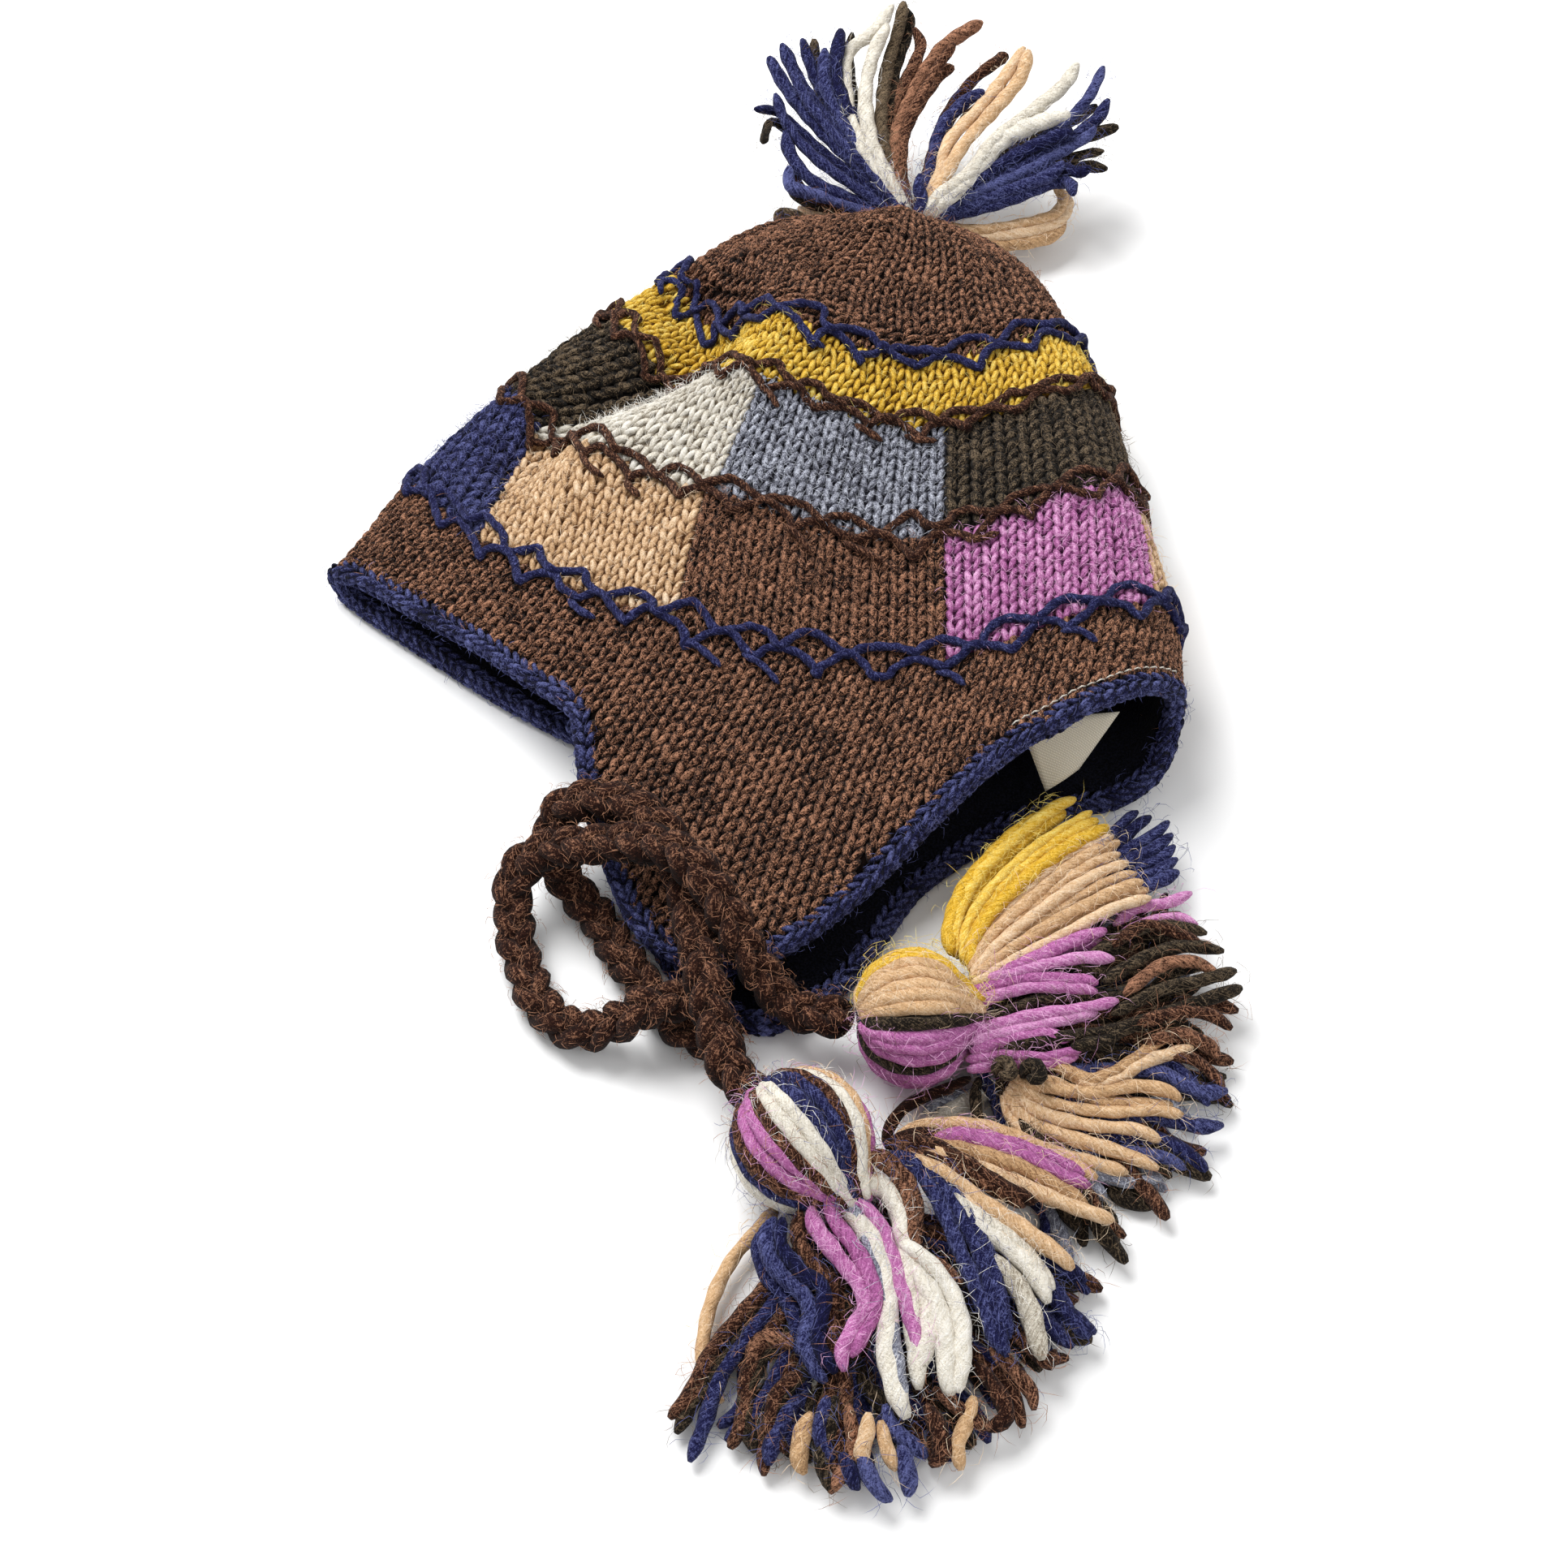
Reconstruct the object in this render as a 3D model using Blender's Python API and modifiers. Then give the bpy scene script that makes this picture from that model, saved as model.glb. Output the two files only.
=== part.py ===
"""Knitted hat with two earflaps, braided ties, tassels and a crown tuft.

The hat lies on its side on a flat surface, softly puffed. The far side of the knit rests on the
surface, the near side bulges above it, the head opening looks along -Y and the crown along +Y.
Metres, +Z up, origin at the middle of the flat underside.
"""

import math

import bmesh
import bpy
import numpy as np
from mathutils import Vector

# Looks: colour in linear light, and roughness.
MATERIALS = {
    "brown_wool": ((0.075, 0.035, 0.025), 0.95),
    "black_fleece": ((0.010, 0.010, 0.013), 1.0),
    "navy_wool": ((0.022, 0.024, 0.110), 0.9),
    "cream_tape": ((0.62, 0.57, 0.46), 0.8),
    "far_tie_wool": ((0.070, 0.033, 0.024), 0.95),
    "near_tie_wool": ((0.075, 0.035, 0.025), 0.95),
    "near_tassel_wool": ((0.35, 0.12, 0.30), 0.9),
    "far_tassel_wool": ((0.45, 0.42, 0.42), 0.9),
    "tuft_wool": ((0.03, 0.03, 0.12), 0.9),
}

# Driving sizes
CROWN_TO_RIM = 0.240  # apex to the plain edge, laid flat
HAT_WIDTH = 0.2775  # between the two ends of the edge, laid flat
PUFF = 0.050  # height of the knit at its full right end
FLAP_LENGTH = 0.070  # how far a flap reaches past the plain edge
KNIT_WALL = 0.0036
LINING_WALL = 0.0015
GAP = 0.0003  # between pieces that touch
TRIM_WIDTH = 0.0064  # crochet edge, across
TIE_WIDTH = 0.0104  # braided tie, across
LABEL_WIDTH = 0.026
LABEL_DROP = 0.019
LABEL_WALL = 0.0006
LABEL_INSET = 0.012  # from the knit's edge to the label's sewn edge
TASSEL_BALL = 0.039  # wrapped ball of a tassel, across
SKIRT_LENGTH = 0.083  # loose yarn below the ball
SKIRT_DEPTH = 0.025  # height of the loose yarn where it leaves the ball
TUFT_LENGTH = 0.094  # longest yarn of the crown tuft
TUFT_KNOT = 0.015
MELT_GRAIN = 0.0030  # grain at which locks of yarn melt into one body
MELT_KEEP = 0.17  # share of the melted body's faces that is kept

APEX_FROM_MIDDLE = 0.49167 * CROWN_TO_RIM  # the apex lies this far along +Y from the origin
UP = Vector((0.0, 0.0, 1.0))

# Sections across the hat, from the apex to past the edge.
# reach: from the apex, share of CROWN_TO_RIM. left, right: degrees to the two side folds.
# The other columns are shares of PUFF: the height of the side folds, the width of their rounding,
# and the height of the near side at the stations of ACROSS.
SECTION_COLUMNS = ("reach", "left", "right", "fold_left", "fold_right", "round_left",
                   "round_right", "h0", "h1", "h2", "h3", "h4")
SECTIONS = (
    (0.000, 90.0, 90.0, 0.40, 0.40, 0.52, 0.52, 0.68, 0.76, 0.84, 0.80, 0.76),
    (0.167, 82.0, 74.0, 0.34, 0.38, 0.54, 0.52, 0.62, 0.78, 0.90, 0.84, 0.80),
    (0.358, 63.0, 55.0, 0.24, 0.38, 0.56, 0.52, 0.52, 0.66, 0.94, 0.82, 0.86),
    (0.467, 57.0, 49.0, 0.20, 0.40, 0.56, 0.52, 0.48, 0.60, 0.92, 0.74, 0.90),
    (0.650, 49.0, 41.0, 0.18, 0.46, 0.56, 0.54, 0.42, 0.54, 0.80, 0.66, 0.98),
    (0.846, 42.5, 36.5, 0.18, 0.50, 0.52, 0.54, 0.38, 0.50, 0.64, 0.58, 0.98),
    (1.000, 38.0, 33.0, 0.18, 0.50, 0.52, 0.52, 0.38, 0.50, 0.56, 0.52, 0.92),
    (1.100, 37.0, 32.0, 0.18, 0.50, 0.52, 0.52, 0.36, 0.43, 0.44, 0.46, 0.90),
    (1.333, 35.0, 31.0, 0.18, 0.50, 0.52, 0.52, 0.30, 0.28, 0.27, 0.34, 0.84),
)
ACROSS = (-0.85, -0.50, -0.10, 0.32, 0.75)

# The edge of each side. across: -1 left fold to 1 right fold.
# plain: share of CROWN_TO_RIM. flap: share of FLAP_LENGTH that is added.
NEAR_EDGE = (
    (-1.00, 1.025, 0.00), (-0.80, 1.000, 0.00), (-0.55, 0.992, 0.00), (-0.36, 1.000, 0.03),
    (-0.26, 1.000, 0.09), (-0.22, 1.000, 0.21), (-0.17, 1.000, 0.40), (-0.085, 1.000, 0.67),
    (0.03, 1.000, 0.96), (0.12, 1.000, 1.01), (0.21, 1.000, 0.90), (0.33, 1.000, 0.63),
    (0.44, 1.000, 0.33), (0.56, 1.000, 0.10), (0.66, 1.000, 0.01), (0.75, 0.990, 0.00),
    (0.88, 0.975, 0.00), (1.00, 0.970, 0.00),
)
FAR_EDGE = (
    (-1.00, 1.025, 0.00), (-0.60, 1.000, 0.00), (-0.24, 1.000, 0.02), (-0.19, 1.000, 0.10),
    (-0.13, 1.000, 0.31), (-0.05, 1.000, 0.60), (0.05, 1.000, 0.95), (0.14, 1.000, 1.13),
    (0.20, 1.000, 1.16), (0.30, 1.000, 0.98), (0.44, 1.000, 0.44), (0.60, 1.000, 0.17),
    (0.80, 1.024, 0.00), (0.94, 1.015, 0.00), (1.00, 0.970, 0.00),
)

# The main fold of the near side: its line in plan, as shares of HAT_WIDTH and CROWN_TO_RIM.
FOLD_LINE = ((-0.238, 0.325), (-0.166, 0.142), (-0.220, 0.067), (-0.288, 0.017),
             (-0.324, -0.038), (-0.346, -0.108), (-0.368, -0.208))
FOLD_POINTS = 28
FOLD_DEPTH = 0.012
FOLD_WIDTH = 0.013
FOLD_SHIFT = 0.4  # the valley lies this share of FOLD_WIDTH right of the line
FOLD_ENDS = (0.12, 0.25)  # shares of the line over which the fold starts and dies out
BULGE_HEIGHT = 0.007  # the knit beside the fold stands up by this
BULGE_WIDTH = 0.015
BULGE_SHIFT = 1.15  # the bulge lies this share of BULGE_WIDTH left of the line

# Grid of the knit: columns on each side, and rings as shares of the way to the brim line.
COLUMNS = 32
END_CROWDING = 0.6
RINGS = (0.05, 0.13, 0.25, 0.38, 0.52, 0.68, 0.84, 1.0)
BRIM_REACH = 0.850  # share of CROWN_TO_RIM where the brim band starts
BRIM_RINGS = 4
SHARPEST_CORNER = 0.6  # cosine of the sharpest half turn that the crochet edge follows
FAR_ROUNDING = 1.1  # width of the far side's rounding, share of the side fold's height

# The label: where it is sewn, across the near side, and how it hangs, as shares of its own sizes.
LABEL_ACROSS = (0.60, 0.80)
LABEL_GRID = 3
LABEL_SHORTER = 0.45  # its right end hangs less by this
LABEL_SWAY = (0.10, -0.06)  # how far its lower corners drift along +X
LABEL_FORWARD = (0.10, 0.42)  # how far it stands forward, all over and at its low left corner

# Routes of the two ties, chosen by hand from flap tip to tassel.
FAR_TIE_ROUTE = (
    (0.0232, -0.2062, 0.0056), (0.0175, -0.2079, 0.0056), (0.0092, -0.2080, 0.0056),
    (0.0010, -0.2044, 0.0056), (-0.0078, -0.1964, 0.0056), (-0.0178, -0.1875, 0.0056),
    (-0.0262, -0.1790, 0.0056), (-0.0340, -0.1726, 0.0060), (-0.0405, -0.1682, 0.0076),
    (-0.0450, -0.1642, 0.0112), (-0.0470, -0.1594, 0.0168), (-0.0455, -0.1550, 0.0228),
    (-0.0405, -0.1526, 0.0274), (-0.0325, -0.1518, 0.0296), (-0.0225, -0.1526, 0.0300),
    (-0.0130, -0.1570, 0.0290), (-0.0065, -0.1648, 0.0276), (-0.0012, -0.1748, 0.0260),
    (0.0040, -0.1852, 0.0250), (0.0092, -0.1962, 0.0250), (0.0140, -0.2062, 0.0230),
    (0.0184, -0.2146, 0.0200), (0.0240, -0.2222, 0.0182), (0.0341, -0.2301, 0.0180),
)
NEAR_TIE_ROUTE = (
    (0.0106, -0.1928, 0.0134), (0.0088, -0.1984, 0.0142), (0.0040, -0.2032, 0.0158),
    (-0.0022, -0.2072, 0.0168), (-0.0088, -0.2110, 0.0138), (-0.0155, -0.2140, 0.0090),
    (-0.0228, -0.2148, 0.0060),
    (-0.0304, -0.2128, 0.0056), (-0.0385, -0.2062, 0.0056), (-0.0452, -0.1968, 0.0058),
    (-0.0505, -0.1872, 0.0078), (-0.0534, -0.1788, 0.0122), (-0.0520, -0.1724, 0.0176),
    (-0.0478, -0.1692, 0.0218), (-0.0415, -0.1678, 0.0248), (-0.0345, -0.1672, 0.0276),
    (-0.0260, -0.1662, 0.0306), (-0.0175, -0.1664, 0.0342), (-0.0100, -0.1680, 0.0376),
    (-0.0025, -0.1710, 0.0388), (0.0052, -0.1758, 0.0370), (0.0122, -0.1818, 0.0330),
    (0.0184, -0.1876, 0.0280), (0.0248, -0.1924, 0.0222), (0.0320, -0.1960, 0.0162),
    (0.0405, -0.1980, 0.0138), (0.0528, -0.1966, 0.0158),
)
TIE_POINTS = 46

# Tassels: ball centre and skirt root in plan; the near tie's tassel lies right, the far tie's below.
TASSELS = {
    "near_tassel": {"ball": (0.0706, -0.1950), "root": (0.0850, -0.1905)},
    "far_tassel": {"ball": (0.0500, -0.2408), "root": (0.0615, -0.2505)},
}
BALL_FLATTENING = 0.92  # thickness of the ball along its poles, share of its width
# Sections of a skirt's lock. along: share of the lock's length. wide: share of the lock's width.
# tall: share of SKIRT_DEPTH, or nothing where the lock's own lift holds.
SKIRT_SECTIONS = ((-0.04, 0.66, 0.72), (0.30, 1.00, 0.92), (0.72, 1.32, 0.82), (1.00, 1.00, None))
LOCK_SIDES = 6
# Locks of a skirt. turn: degrees from +X. length: share of SKIRT_LENGTH. width, lift: shares of
# SKIRT_DEPTH, lift being the height of the lock's end.
NEAR_TASSEL_LOCKS = (
    (75.0, 0.92, 0.62, 0.57), (60.0, 1.02, 0.66, 0.55), (45.0, 0.98, 0.66, 0.56),
    (29.0, 0.96, 0.66, 0.58), (13.0, 0.92, 0.66, 0.56), (-3.0, 0.90, 0.66, 0.55),
    (-18.0, 0.87, 0.62, 0.54), (-33.0, 0.80, 0.60, 0.54), (-52.0, 0.62, 0.56, 0.54),
)
FAR_TASSEL_LOCKS = (
    (-124.0, 0.52, 0.56, 0.55), (-106.0, 0.74, 0.62, 0.54), (-91.0, 0.92, 0.62, 0.54),
    (-76.0, 1.02, 0.66, 0.55), (-61.0, 1.04, 0.66, 0.55), (-45.0, 0.94, 0.64, 0.55),
    (-28.0, 0.84, 0.62, 0.56), (-11.0, 0.84, 0.62, 0.57), (6.0, 0.86, 0.60, 0.57),
)
KNOT_SEAT = 0.48  # the knot's centre lies this share of TUFT_KNOT past the apex
# Sections of a tuft's lock. along: share of the lock's length. wide: share of the lock's width.
# tall: share of TUFT_KNOT.
TUFT_SECTIONS = ((0.02, 0.47, 0.45), (0.35, 0.75, 0.62), (0.75, 1.15, 0.66), (1.00, 1.00, 0.50))
# Locks of the crown tuft. turn: degrees from +Y towards +X. rise: degrees. length: share of
# TUFT_LENGTH. width: share of TUFT_KNOT.
TUFT_LOCKS = (
    (-88.0, -12.0, 0.58, 0.60), (-66.0, 16.0, 0.80, 0.95), (-49.0, 19.0, 0.92, 1.00),
    (-32.0, 22.0, 0.92, 0.95), (-15.0, 24.0, 0.98, 0.90), (3.0, 26.0, 0.92, 0.90),
    (20.0, 22.0, 0.88, 0.90), (35.0, 15.0, 0.98, 1.00), (50.0, 7.0, 0.90, 1.00),
    (70.0, -8.0, 0.60, 0.80),
)


def make_hat_empty():
    """Empty the file and return the empty that carries the hat's pieces."""
    for old in list(bpy.data.objects):
        bpy.data.objects.remove(old, do_unlink=True)
    collection = bpy.data.collections.new("earflap_hat")
    bpy.context.scene.collection.children.link(collection)
    hat = bpy.data.objects.new("hat", None)
    collection.objects.link(hat)
    return hat


def make_material(name):
    colour, roughness = MATERIALS[name]
    material = bpy.data.materials.new(name)
    material.use_nodes = True
    shader = material.node_tree.nodes["Principled BSDF"]
    shader.inputs["Base Color"].default_value = (*colour, 1.0)
    shader.inputs["Roughness"].default_value = roughness
    shader.inputs["Metallic"].default_value = 0.0
    return material


def add_object(name, data, hat, material, place=(0.0, 0.0, 0.0)):
    """A piece of the hat, hung on the hat's empty."""
    made = bpy.data.objects.new(name, data)
    made.location = place
    made.parent = hat
    hat.users_collection[0].objects.link(made)
    data.materials.append(make_material(material))
    return made


def smooth_step(share):
    share = np.clip(share, 0.0, 1.0)
    return share * share * (3.0 - 2.0 * share)


def smooth_rows(where, stations, values):
    """Values between a table's rows, on a curve without overshoot through them."""
    stations = np.asarray(stations, float)
    values = np.asarray(values, float)
    step = np.diff(stations)
    slope = np.diff(values) / step
    tangent = np.zeros(len(stations))
    tangent[0], tangent[-1] = slope[0], slope[-1]
    for i in range(1, len(stations) - 1):
        if slope[i - 1] * slope[i] > 0:
            before = 2 * step[i] + step[i - 1]
            after = step[i] + 2 * step[i - 1]
            tangent[i] = (before + after) / (before / slope[i - 1] + after / slope[i])
    where = min(max(where, stations[0]), stations[-1])
    k = min(max(int(np.searchsorted(stations, where)) - 1, 0), len(stations) - 2)
    t = (where - stations[k]) / step[k]
    return ((1 + 2 * t) * (1 - t) ** 2 * values[k] + t * (1 - t) ** 2 * step[k] * tangent[k]
            + t * t * (3 - 2 * t) * values[k + 1] + t * t * (t - 1) * step[k] * tangent[k + 1])


def section_at(reach):
    """Every column of the section table at one reach."""
    table = np.array(SECTIONS)
    return {name: float(smooth_rows(reach, table[:, 0], table[:, k]))
            for k, name in enumerate(SECTION_COLUMNS)}


def side_reach():
    """The reach sideways that gives the plain edge its width."""
    edge = section_at(1.0)
    return HAT_WIDTH / (math.sin(math.radians(edge["left"])) + math.sin(math.radians(edge["right"])))


def smooth_route(route, count):
    """Evenly spaced points of a smooth curve through the route's own points."""
    points = [Vector(p) for p in route]
    padded = [2 * points[0] - points[1], *points, 2 * points[-1] - points[-2]]
    fine = []
    steps = 12
    for a, b, c, d in zip(padded, padded[1:], padded[2:], padded[3:]):
        for k in range(steps):
            t = k / steps
            fine.append(0.5 * (2 * b + (c - a) * t + (2 * a - 5 * b + 4 * c - d) * t * t
                               + (3 * b - a - 3 * c + d) * t ** 3))
    fine.append(points[-1])
    along = np.concatenate([[0.0], np.cumsum([(q - p).length for p, q in zip(fine, fine[1:])])])
    wanted = np.linspace(0.0, along[-1], count)
    return [Vector([float(np.interp(w, along, [p[k] for p in fine])) for k in range(3)])
            for w in wanted]


def fold_path():
    """The main fold's line in plan, smooth and evenly spaced."""
    return smooth_route([(a * HAT_WIDTH, b * CROWN_TO_RIM, 0.0) for a, b in FOLD_LINE],
                        FOLD_POINTS)


def fold_rise(x, y, path):
    """How far the near side is pushed down in its main fold and stands up beside it."""
    here = Vector((x, y, 0.0))
    k = min(range(len(path)), key=lambda i: (path[i] - here).length_squared)
    before, after = path[max(k - 1, 0)], path[min(k + 1, len(path) - 1)]
    along = (after - before).normalized()
    away = here - path[k]
    off = along.x * away.y - along.y * away.x
    share = k / (len(path) - 1)
    fade = float(smooth_step(share / FOLD_ENDS[0]) * smooth_step((1 - share) / FOLD_ENDS[1]))
    fade *= math.exp(-((along.dot(away) / FOLD_WIDTH) ** 2))
    valley = FOLD_DEPTH * math.exp(-(((off + FOLD_SHIFT * FOLD_WIDTH) / FOLD_WIDTH) ** 2))
    bulge = BULGE_HEIGHT * math.exp(-(((off - BULGE_SHIFT * BULGE_WIDTH) / BULGE_WIDTH) ** 2))
    return (bulge - valley) * fade


FOLD_PATH = fold_path()


def rounding(away, width):
    """Share of the full height at a distance from a side fold, on a quarter circle."""
    inward = min(max(away / width, 0.0), 1.0)
    return math.sqrt(1.0 - (1.0 - inward) ** 2)


def knit_point(reach, across, near):
    """A point of the knit's outer face: reach from the apex, -1 to 1 across, near or far side."""
    section = section_at(reach)
    half = math.radians(section["left"] + section["right"]) / 2
    turn = math.radians(section["right"] - section["left"]) / 2 + half * across
    sideways = reach * side_reach()
    x = sideways * math.sin(turn)
    y = APEX_FROM_MIDDLE - reach * CROWN_TO_RIM * math.cos(turn)
    from_left = sideways * math.sin(min(half * (1 + across), math.pi / 2))
    from_right = sideways * math.sin(min(half * (1 - across), math.pi / 2))
    fold = section["fold_left"] + (section["fold_right"] - section["fold_left"]) * float(
        smooth_step((across + 1) / 2))
    fold *= PUFF
    if near:
        top = PUFF * smooth_rows(across, ACROSS, [section["h%d" % k] for k in range(5)])
        full = min(rounding(from_left, PUFF * section["round_left"]),
                   rounding(from_right, PUFF * section["round_right"]))
        z = fold + (top + fold_rise(x, y, FOLD_PATH) - fold) * full
    else:
        full = min(rounding(from_left, FAR_ROUNDING * fold), rounding(from_right, FAR_ROUNDING * fold))
        z = fold * (1.0 - full)
    return Vector((x, y, z))


def edge_reach(across, near):
    """Reach of the knit's own edge, inside the crochet trim."""
    table = np.array(NEAR_EDGE if near else FAR_EDGE)
    plain = smooth_rows(across, table[:, 0], table[:, 1])
    flap = smooth_rows(across, table[:, 0], table[:, 2])
    return plain + (flap * FLAP_LENGTH - TRIM_WIDTH - GAP) / CROWN_TO_RIM


def knit_columns():
    """Columns round the hat: the near side left to right, then the far side back."""
    shares = [-1 + 2 * k / COLUMNS for k in range(COLUMNS + 1)]
    across = [(1 - END_CROWDING) * s + END_CROWDING * math.sin(s * math.pi / 2) for s in shares]
    near = [(a, True) for a in across[:-1]]
    far = [(a, False) for a in reversed(across[1:])]
    return near + far


def knit_surface():
    """Open surface of the knit's outer face, closed at the apex and cut in triangles."""
    columns = knit_columns()
    shape = bmesh.new()
    apex = shape.verts.new(knit_point(0.0, 0.0, True))
    rings = []
    for share in RINGS:
        rings.append([shape.verts.new(knit_point(share * BRIM_REACH, a, near))
                      for a, near in columns])
    for k in range(1, BRIM_RINGS + 1):
        ring = []
        for a, near in columns:
            reach = BRIM_REACH + (edge_reach(a, near) - BRIM_REACH) * k / BRIM_RINGS
            ring.append(shape.verts.new(knit_point(reach, a, near)))
        rings.append(ring)
    around = range(len(columns))
    for i in around:
        j = (i + 1) % len(columns)
        shape.faces.new((apex, rings[0][i], rings[0][j]))
        for upper, lower in zip(rings, rings[1:]):
            shape.faces.new((upper[i], lower[i], lower[j]))
            shape.faces.new((upper[i], lower[j], upper[j]))
    shape.verts.index_update()
    edge = [v.index for v in rings[-1]]
    inner_ring = [v.index for v in rings[-2]]
    mesh = bpy.data.meshes.new("knit_surface")
    shape.to_mesh(mesh)
    shape.free()
    return mesh, edge, inner_ring


def offset_copy(mesh, depth, name):
    """The same surface moved inwards along its own normals."""
    copy = mesh.copy()
    copy.name = name
    normals = [v.normal.copy() for v in mesh.vertices]
    for vertex, normal in zip(copy.vertices, normals):
        vertex.co = vertex.co - normal * depth
    return copy


def add_wall(target, thickness):
    wall = target.modifiers.new("wall", "SOLIDIFY")
    wall.thickness = thickness
    wall.offset = -1.0
    wall.use_even_offset = False
    wall.use_rim = True


def make_shell(surface, hat):
    mesh = surface.copy()
    mesh.name = "knit_shell"
    mesh.shade_smooth()
    add_wall(add_object("knit_shell", mesh, hat, "brown_wool"), KNIT_WALL)


def make_lining(surface, hat):
    mesh = offset_copy(surface, KNIT_WALL + GAP, "fleece_lining")
    mesh.shade_smooth()
    add_wall(add_object("fleece_lining", mesh, hat, "black_fleece"), LINING_WALL)


def make_trim(surface, edge, inner_ring, hat):
    """Crochet edge: a closed bead just past the walls' edge, all round the opening."""
    middle = (KNIT_WALL + GAP + LINING_WALL) / 2
    places = [surface.vertices[k].co for k in edge]
    points = []
    for k, (outer, inner) in enumerate(zip(edge, inner_ring)):
        at = surface.vertices[outer]
        before = (at.co - places[k - 1]).cross(at.normal).normalized()
        after = (places[(k + 1) % len(places)] - at.co).cross(at.normal).normalized()
        outward = (before + after).normalized()
        if outward.dot(at.co - surface.vertices[inner].co) < 0:
            outward.negate()
        corner = max(abs(outward.dot(before)), SHARPEST_CORNER)
        point = at.co - at.normal * middle + outward * ((TRIM_WIDTH / 2 + GAP) / corner)
        point.z = max(point.z, TRIM_WIDTH / 2)
        points.append(point)
    curve = bpy.data.curves.new("edge_trim", "CURVE")
    curve.dimensions = "3D"
    curve.bevel_depth = TRIM_WIDTH / 2
    curve.bevel_resolution = 1
    spline = curve.splines.new("POLY")
    spline.points.add(len(points) - 1)
    for target, point in zip(spline.points, points):
        target.co = (*point, 1.0)
    spline.use_cyclic_u = True
    add_object("edge_trim", curve, hat, "navy_wool")


def make_label(hat):
    """Blank care label, sewn under the near side of the edge and hanging into the opening."""
    start, stop = LABEL_ACROSS
    all_over, low_left = LABEL_FORWARD
    depth = KNIT_WALL + LINING_WALL + 3 * GAP + LABEL_WALL
    shares = [k / LABEL_GRID for k in range(LABEL_GRID + 1)]
    shape = bmesh.new()
    grid = []
    for down in shares:
        line = []
        for side in shares:
            across = start + (stop - start) * side
            root = knit_point(edge_reach(across, True) - LABEL_INSET, across, True)
            sway = LABEL_SWAY[0] + (LABEL_SWAY[1] - LABEL_SWAY[0]) * side
            line.append(shape.verts.new((
                root.x + LABEL_WIDTH * sway * down,
                root.y - LABEL_DROP * (all_over + low_left * down * (1 - side)),
                root.z - depth - LABEL_DROP * down * (1 - LABEL_SHORTER * side))))
        grid.append(line)
    for upper, lower in zip(grid, grid[1:]):
        for i in range(LABEL_GRID):
            shape.faces.new((upper[i], lower[i], lower[i + 1], upper[i + 1]))
    mesh = bpy.data.meshes.new("care_label")
    shape.to_mesh(mesh)
    shape.free()
    add_wall(add_object("care_label", mesh, hat, "cream_tape"), LABEL_WALL)


def make_tie(name, route, hat):
    """A tie as a plain round cord along its route."""
    curve = bpy.data.curves.new(name, "CURVE")
    curve.dimensions = "3D"
    curve.bevel_depth = TIE_WIDTH / 2
    curve.bevel_resolution = 2
    curve.use_fill_caps = True
    spline = curve.splines.new("POLY")
    points = smooth_route(route, TIE_POINTS)
    spline.points.add(len(points) - 1)
    for target, point in zip(spline.points, points):
        target.co = (*point, 1.0)
    add_object(name, curve, hat, name + "_wool")


def lock_mesh(name, spine, widths, depths, flat):
    """One lock of yarn: six-sided sections along a spine, with closed ends.

    flat is the direction that the lock's width keeps square to.
    """
    shape = bmesh.new()
    sections = []
    for k, (point, width, depth) in enumerate(zip(spine, widths, depths)):
        ahead = spine[min(k + 1, len(spine) - 1)] - spine[max(k - 1, 0)]
        ahead.normalize()
        wide = ahead.cross(flat).normalized()
        tall = wide.cross(ahead).normalized()
        ring = []
        for i in range(LOCK_SIDES):
            angle = 2 * math.pi * (i + 0.5) / LOCK_SIDES
            ring.append(shape.verts.new(point + wide * (width / 2 * math.cos(angle))
                                        + tall * (depth / 2 * math.sin(angle))))
        sections.append(ring)
    for lower, upper in zip(sections, sections[1:]):
        for i in range(LOCK_SIDES):
            j = (i + 1) % LOCK_SIDES
            shape.faces.new((lower[i], lower[j], upper[j], upper[i]))
    shape.faces.new(list(reversed(sections[0])))
    shape.faces.new(sections[-1])
    bmesh.ops.recalc_face_normals(shape, faces=shape.faces)
    mesh = bpy.data.meshes.new(name)
    shape.to_mesh(mesh)
    shape.free()
    return mesh


def fuse(head, pieces):
    """Melt locks and their head into one body of few faces."""
    shape = bmesh.new()
    shape.from_mesh(head.data)
    for piece in pieces:
        shape.from_mesh(piece)
        bpy.data.meshes.remove(piece)
    shape.to_mesh(head.data)
    shape.free()
    melt = head.modifiers.new("melt", "REMESH")
    melt.mode = "VOXEL"
    melt.voxel_size = MELT_GRAIN
    thin = head.modifiers.new("thin", "DECIMATE")
    thin.ratio = MELT_KEEP


def make_ball(name, centre, radii, hat):
    """A head of wound yarn, a little flattened, with its poles along its own X."""
    shape = bmesh.new()
    bmesh.ops.create_uvsphere(shape, u_segments=14, v_segments=9, radius=1.0)
    for vertex in shape.verts:
        x, y, z = vertex.co
        vertex.co = Vector((radii[0] * z, radii[1] * y, radii[2] * x))
    bmesh.ops.recalc_face_normals(shape, faces=shape.faces)
    mesh = bpy.data.meshes.new(name)
    shape.to_mesh(mesh)
    shape.free()
    return add_object(name, mesh, hat, name.replace("crown_", "") + "_wool", centre)


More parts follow.
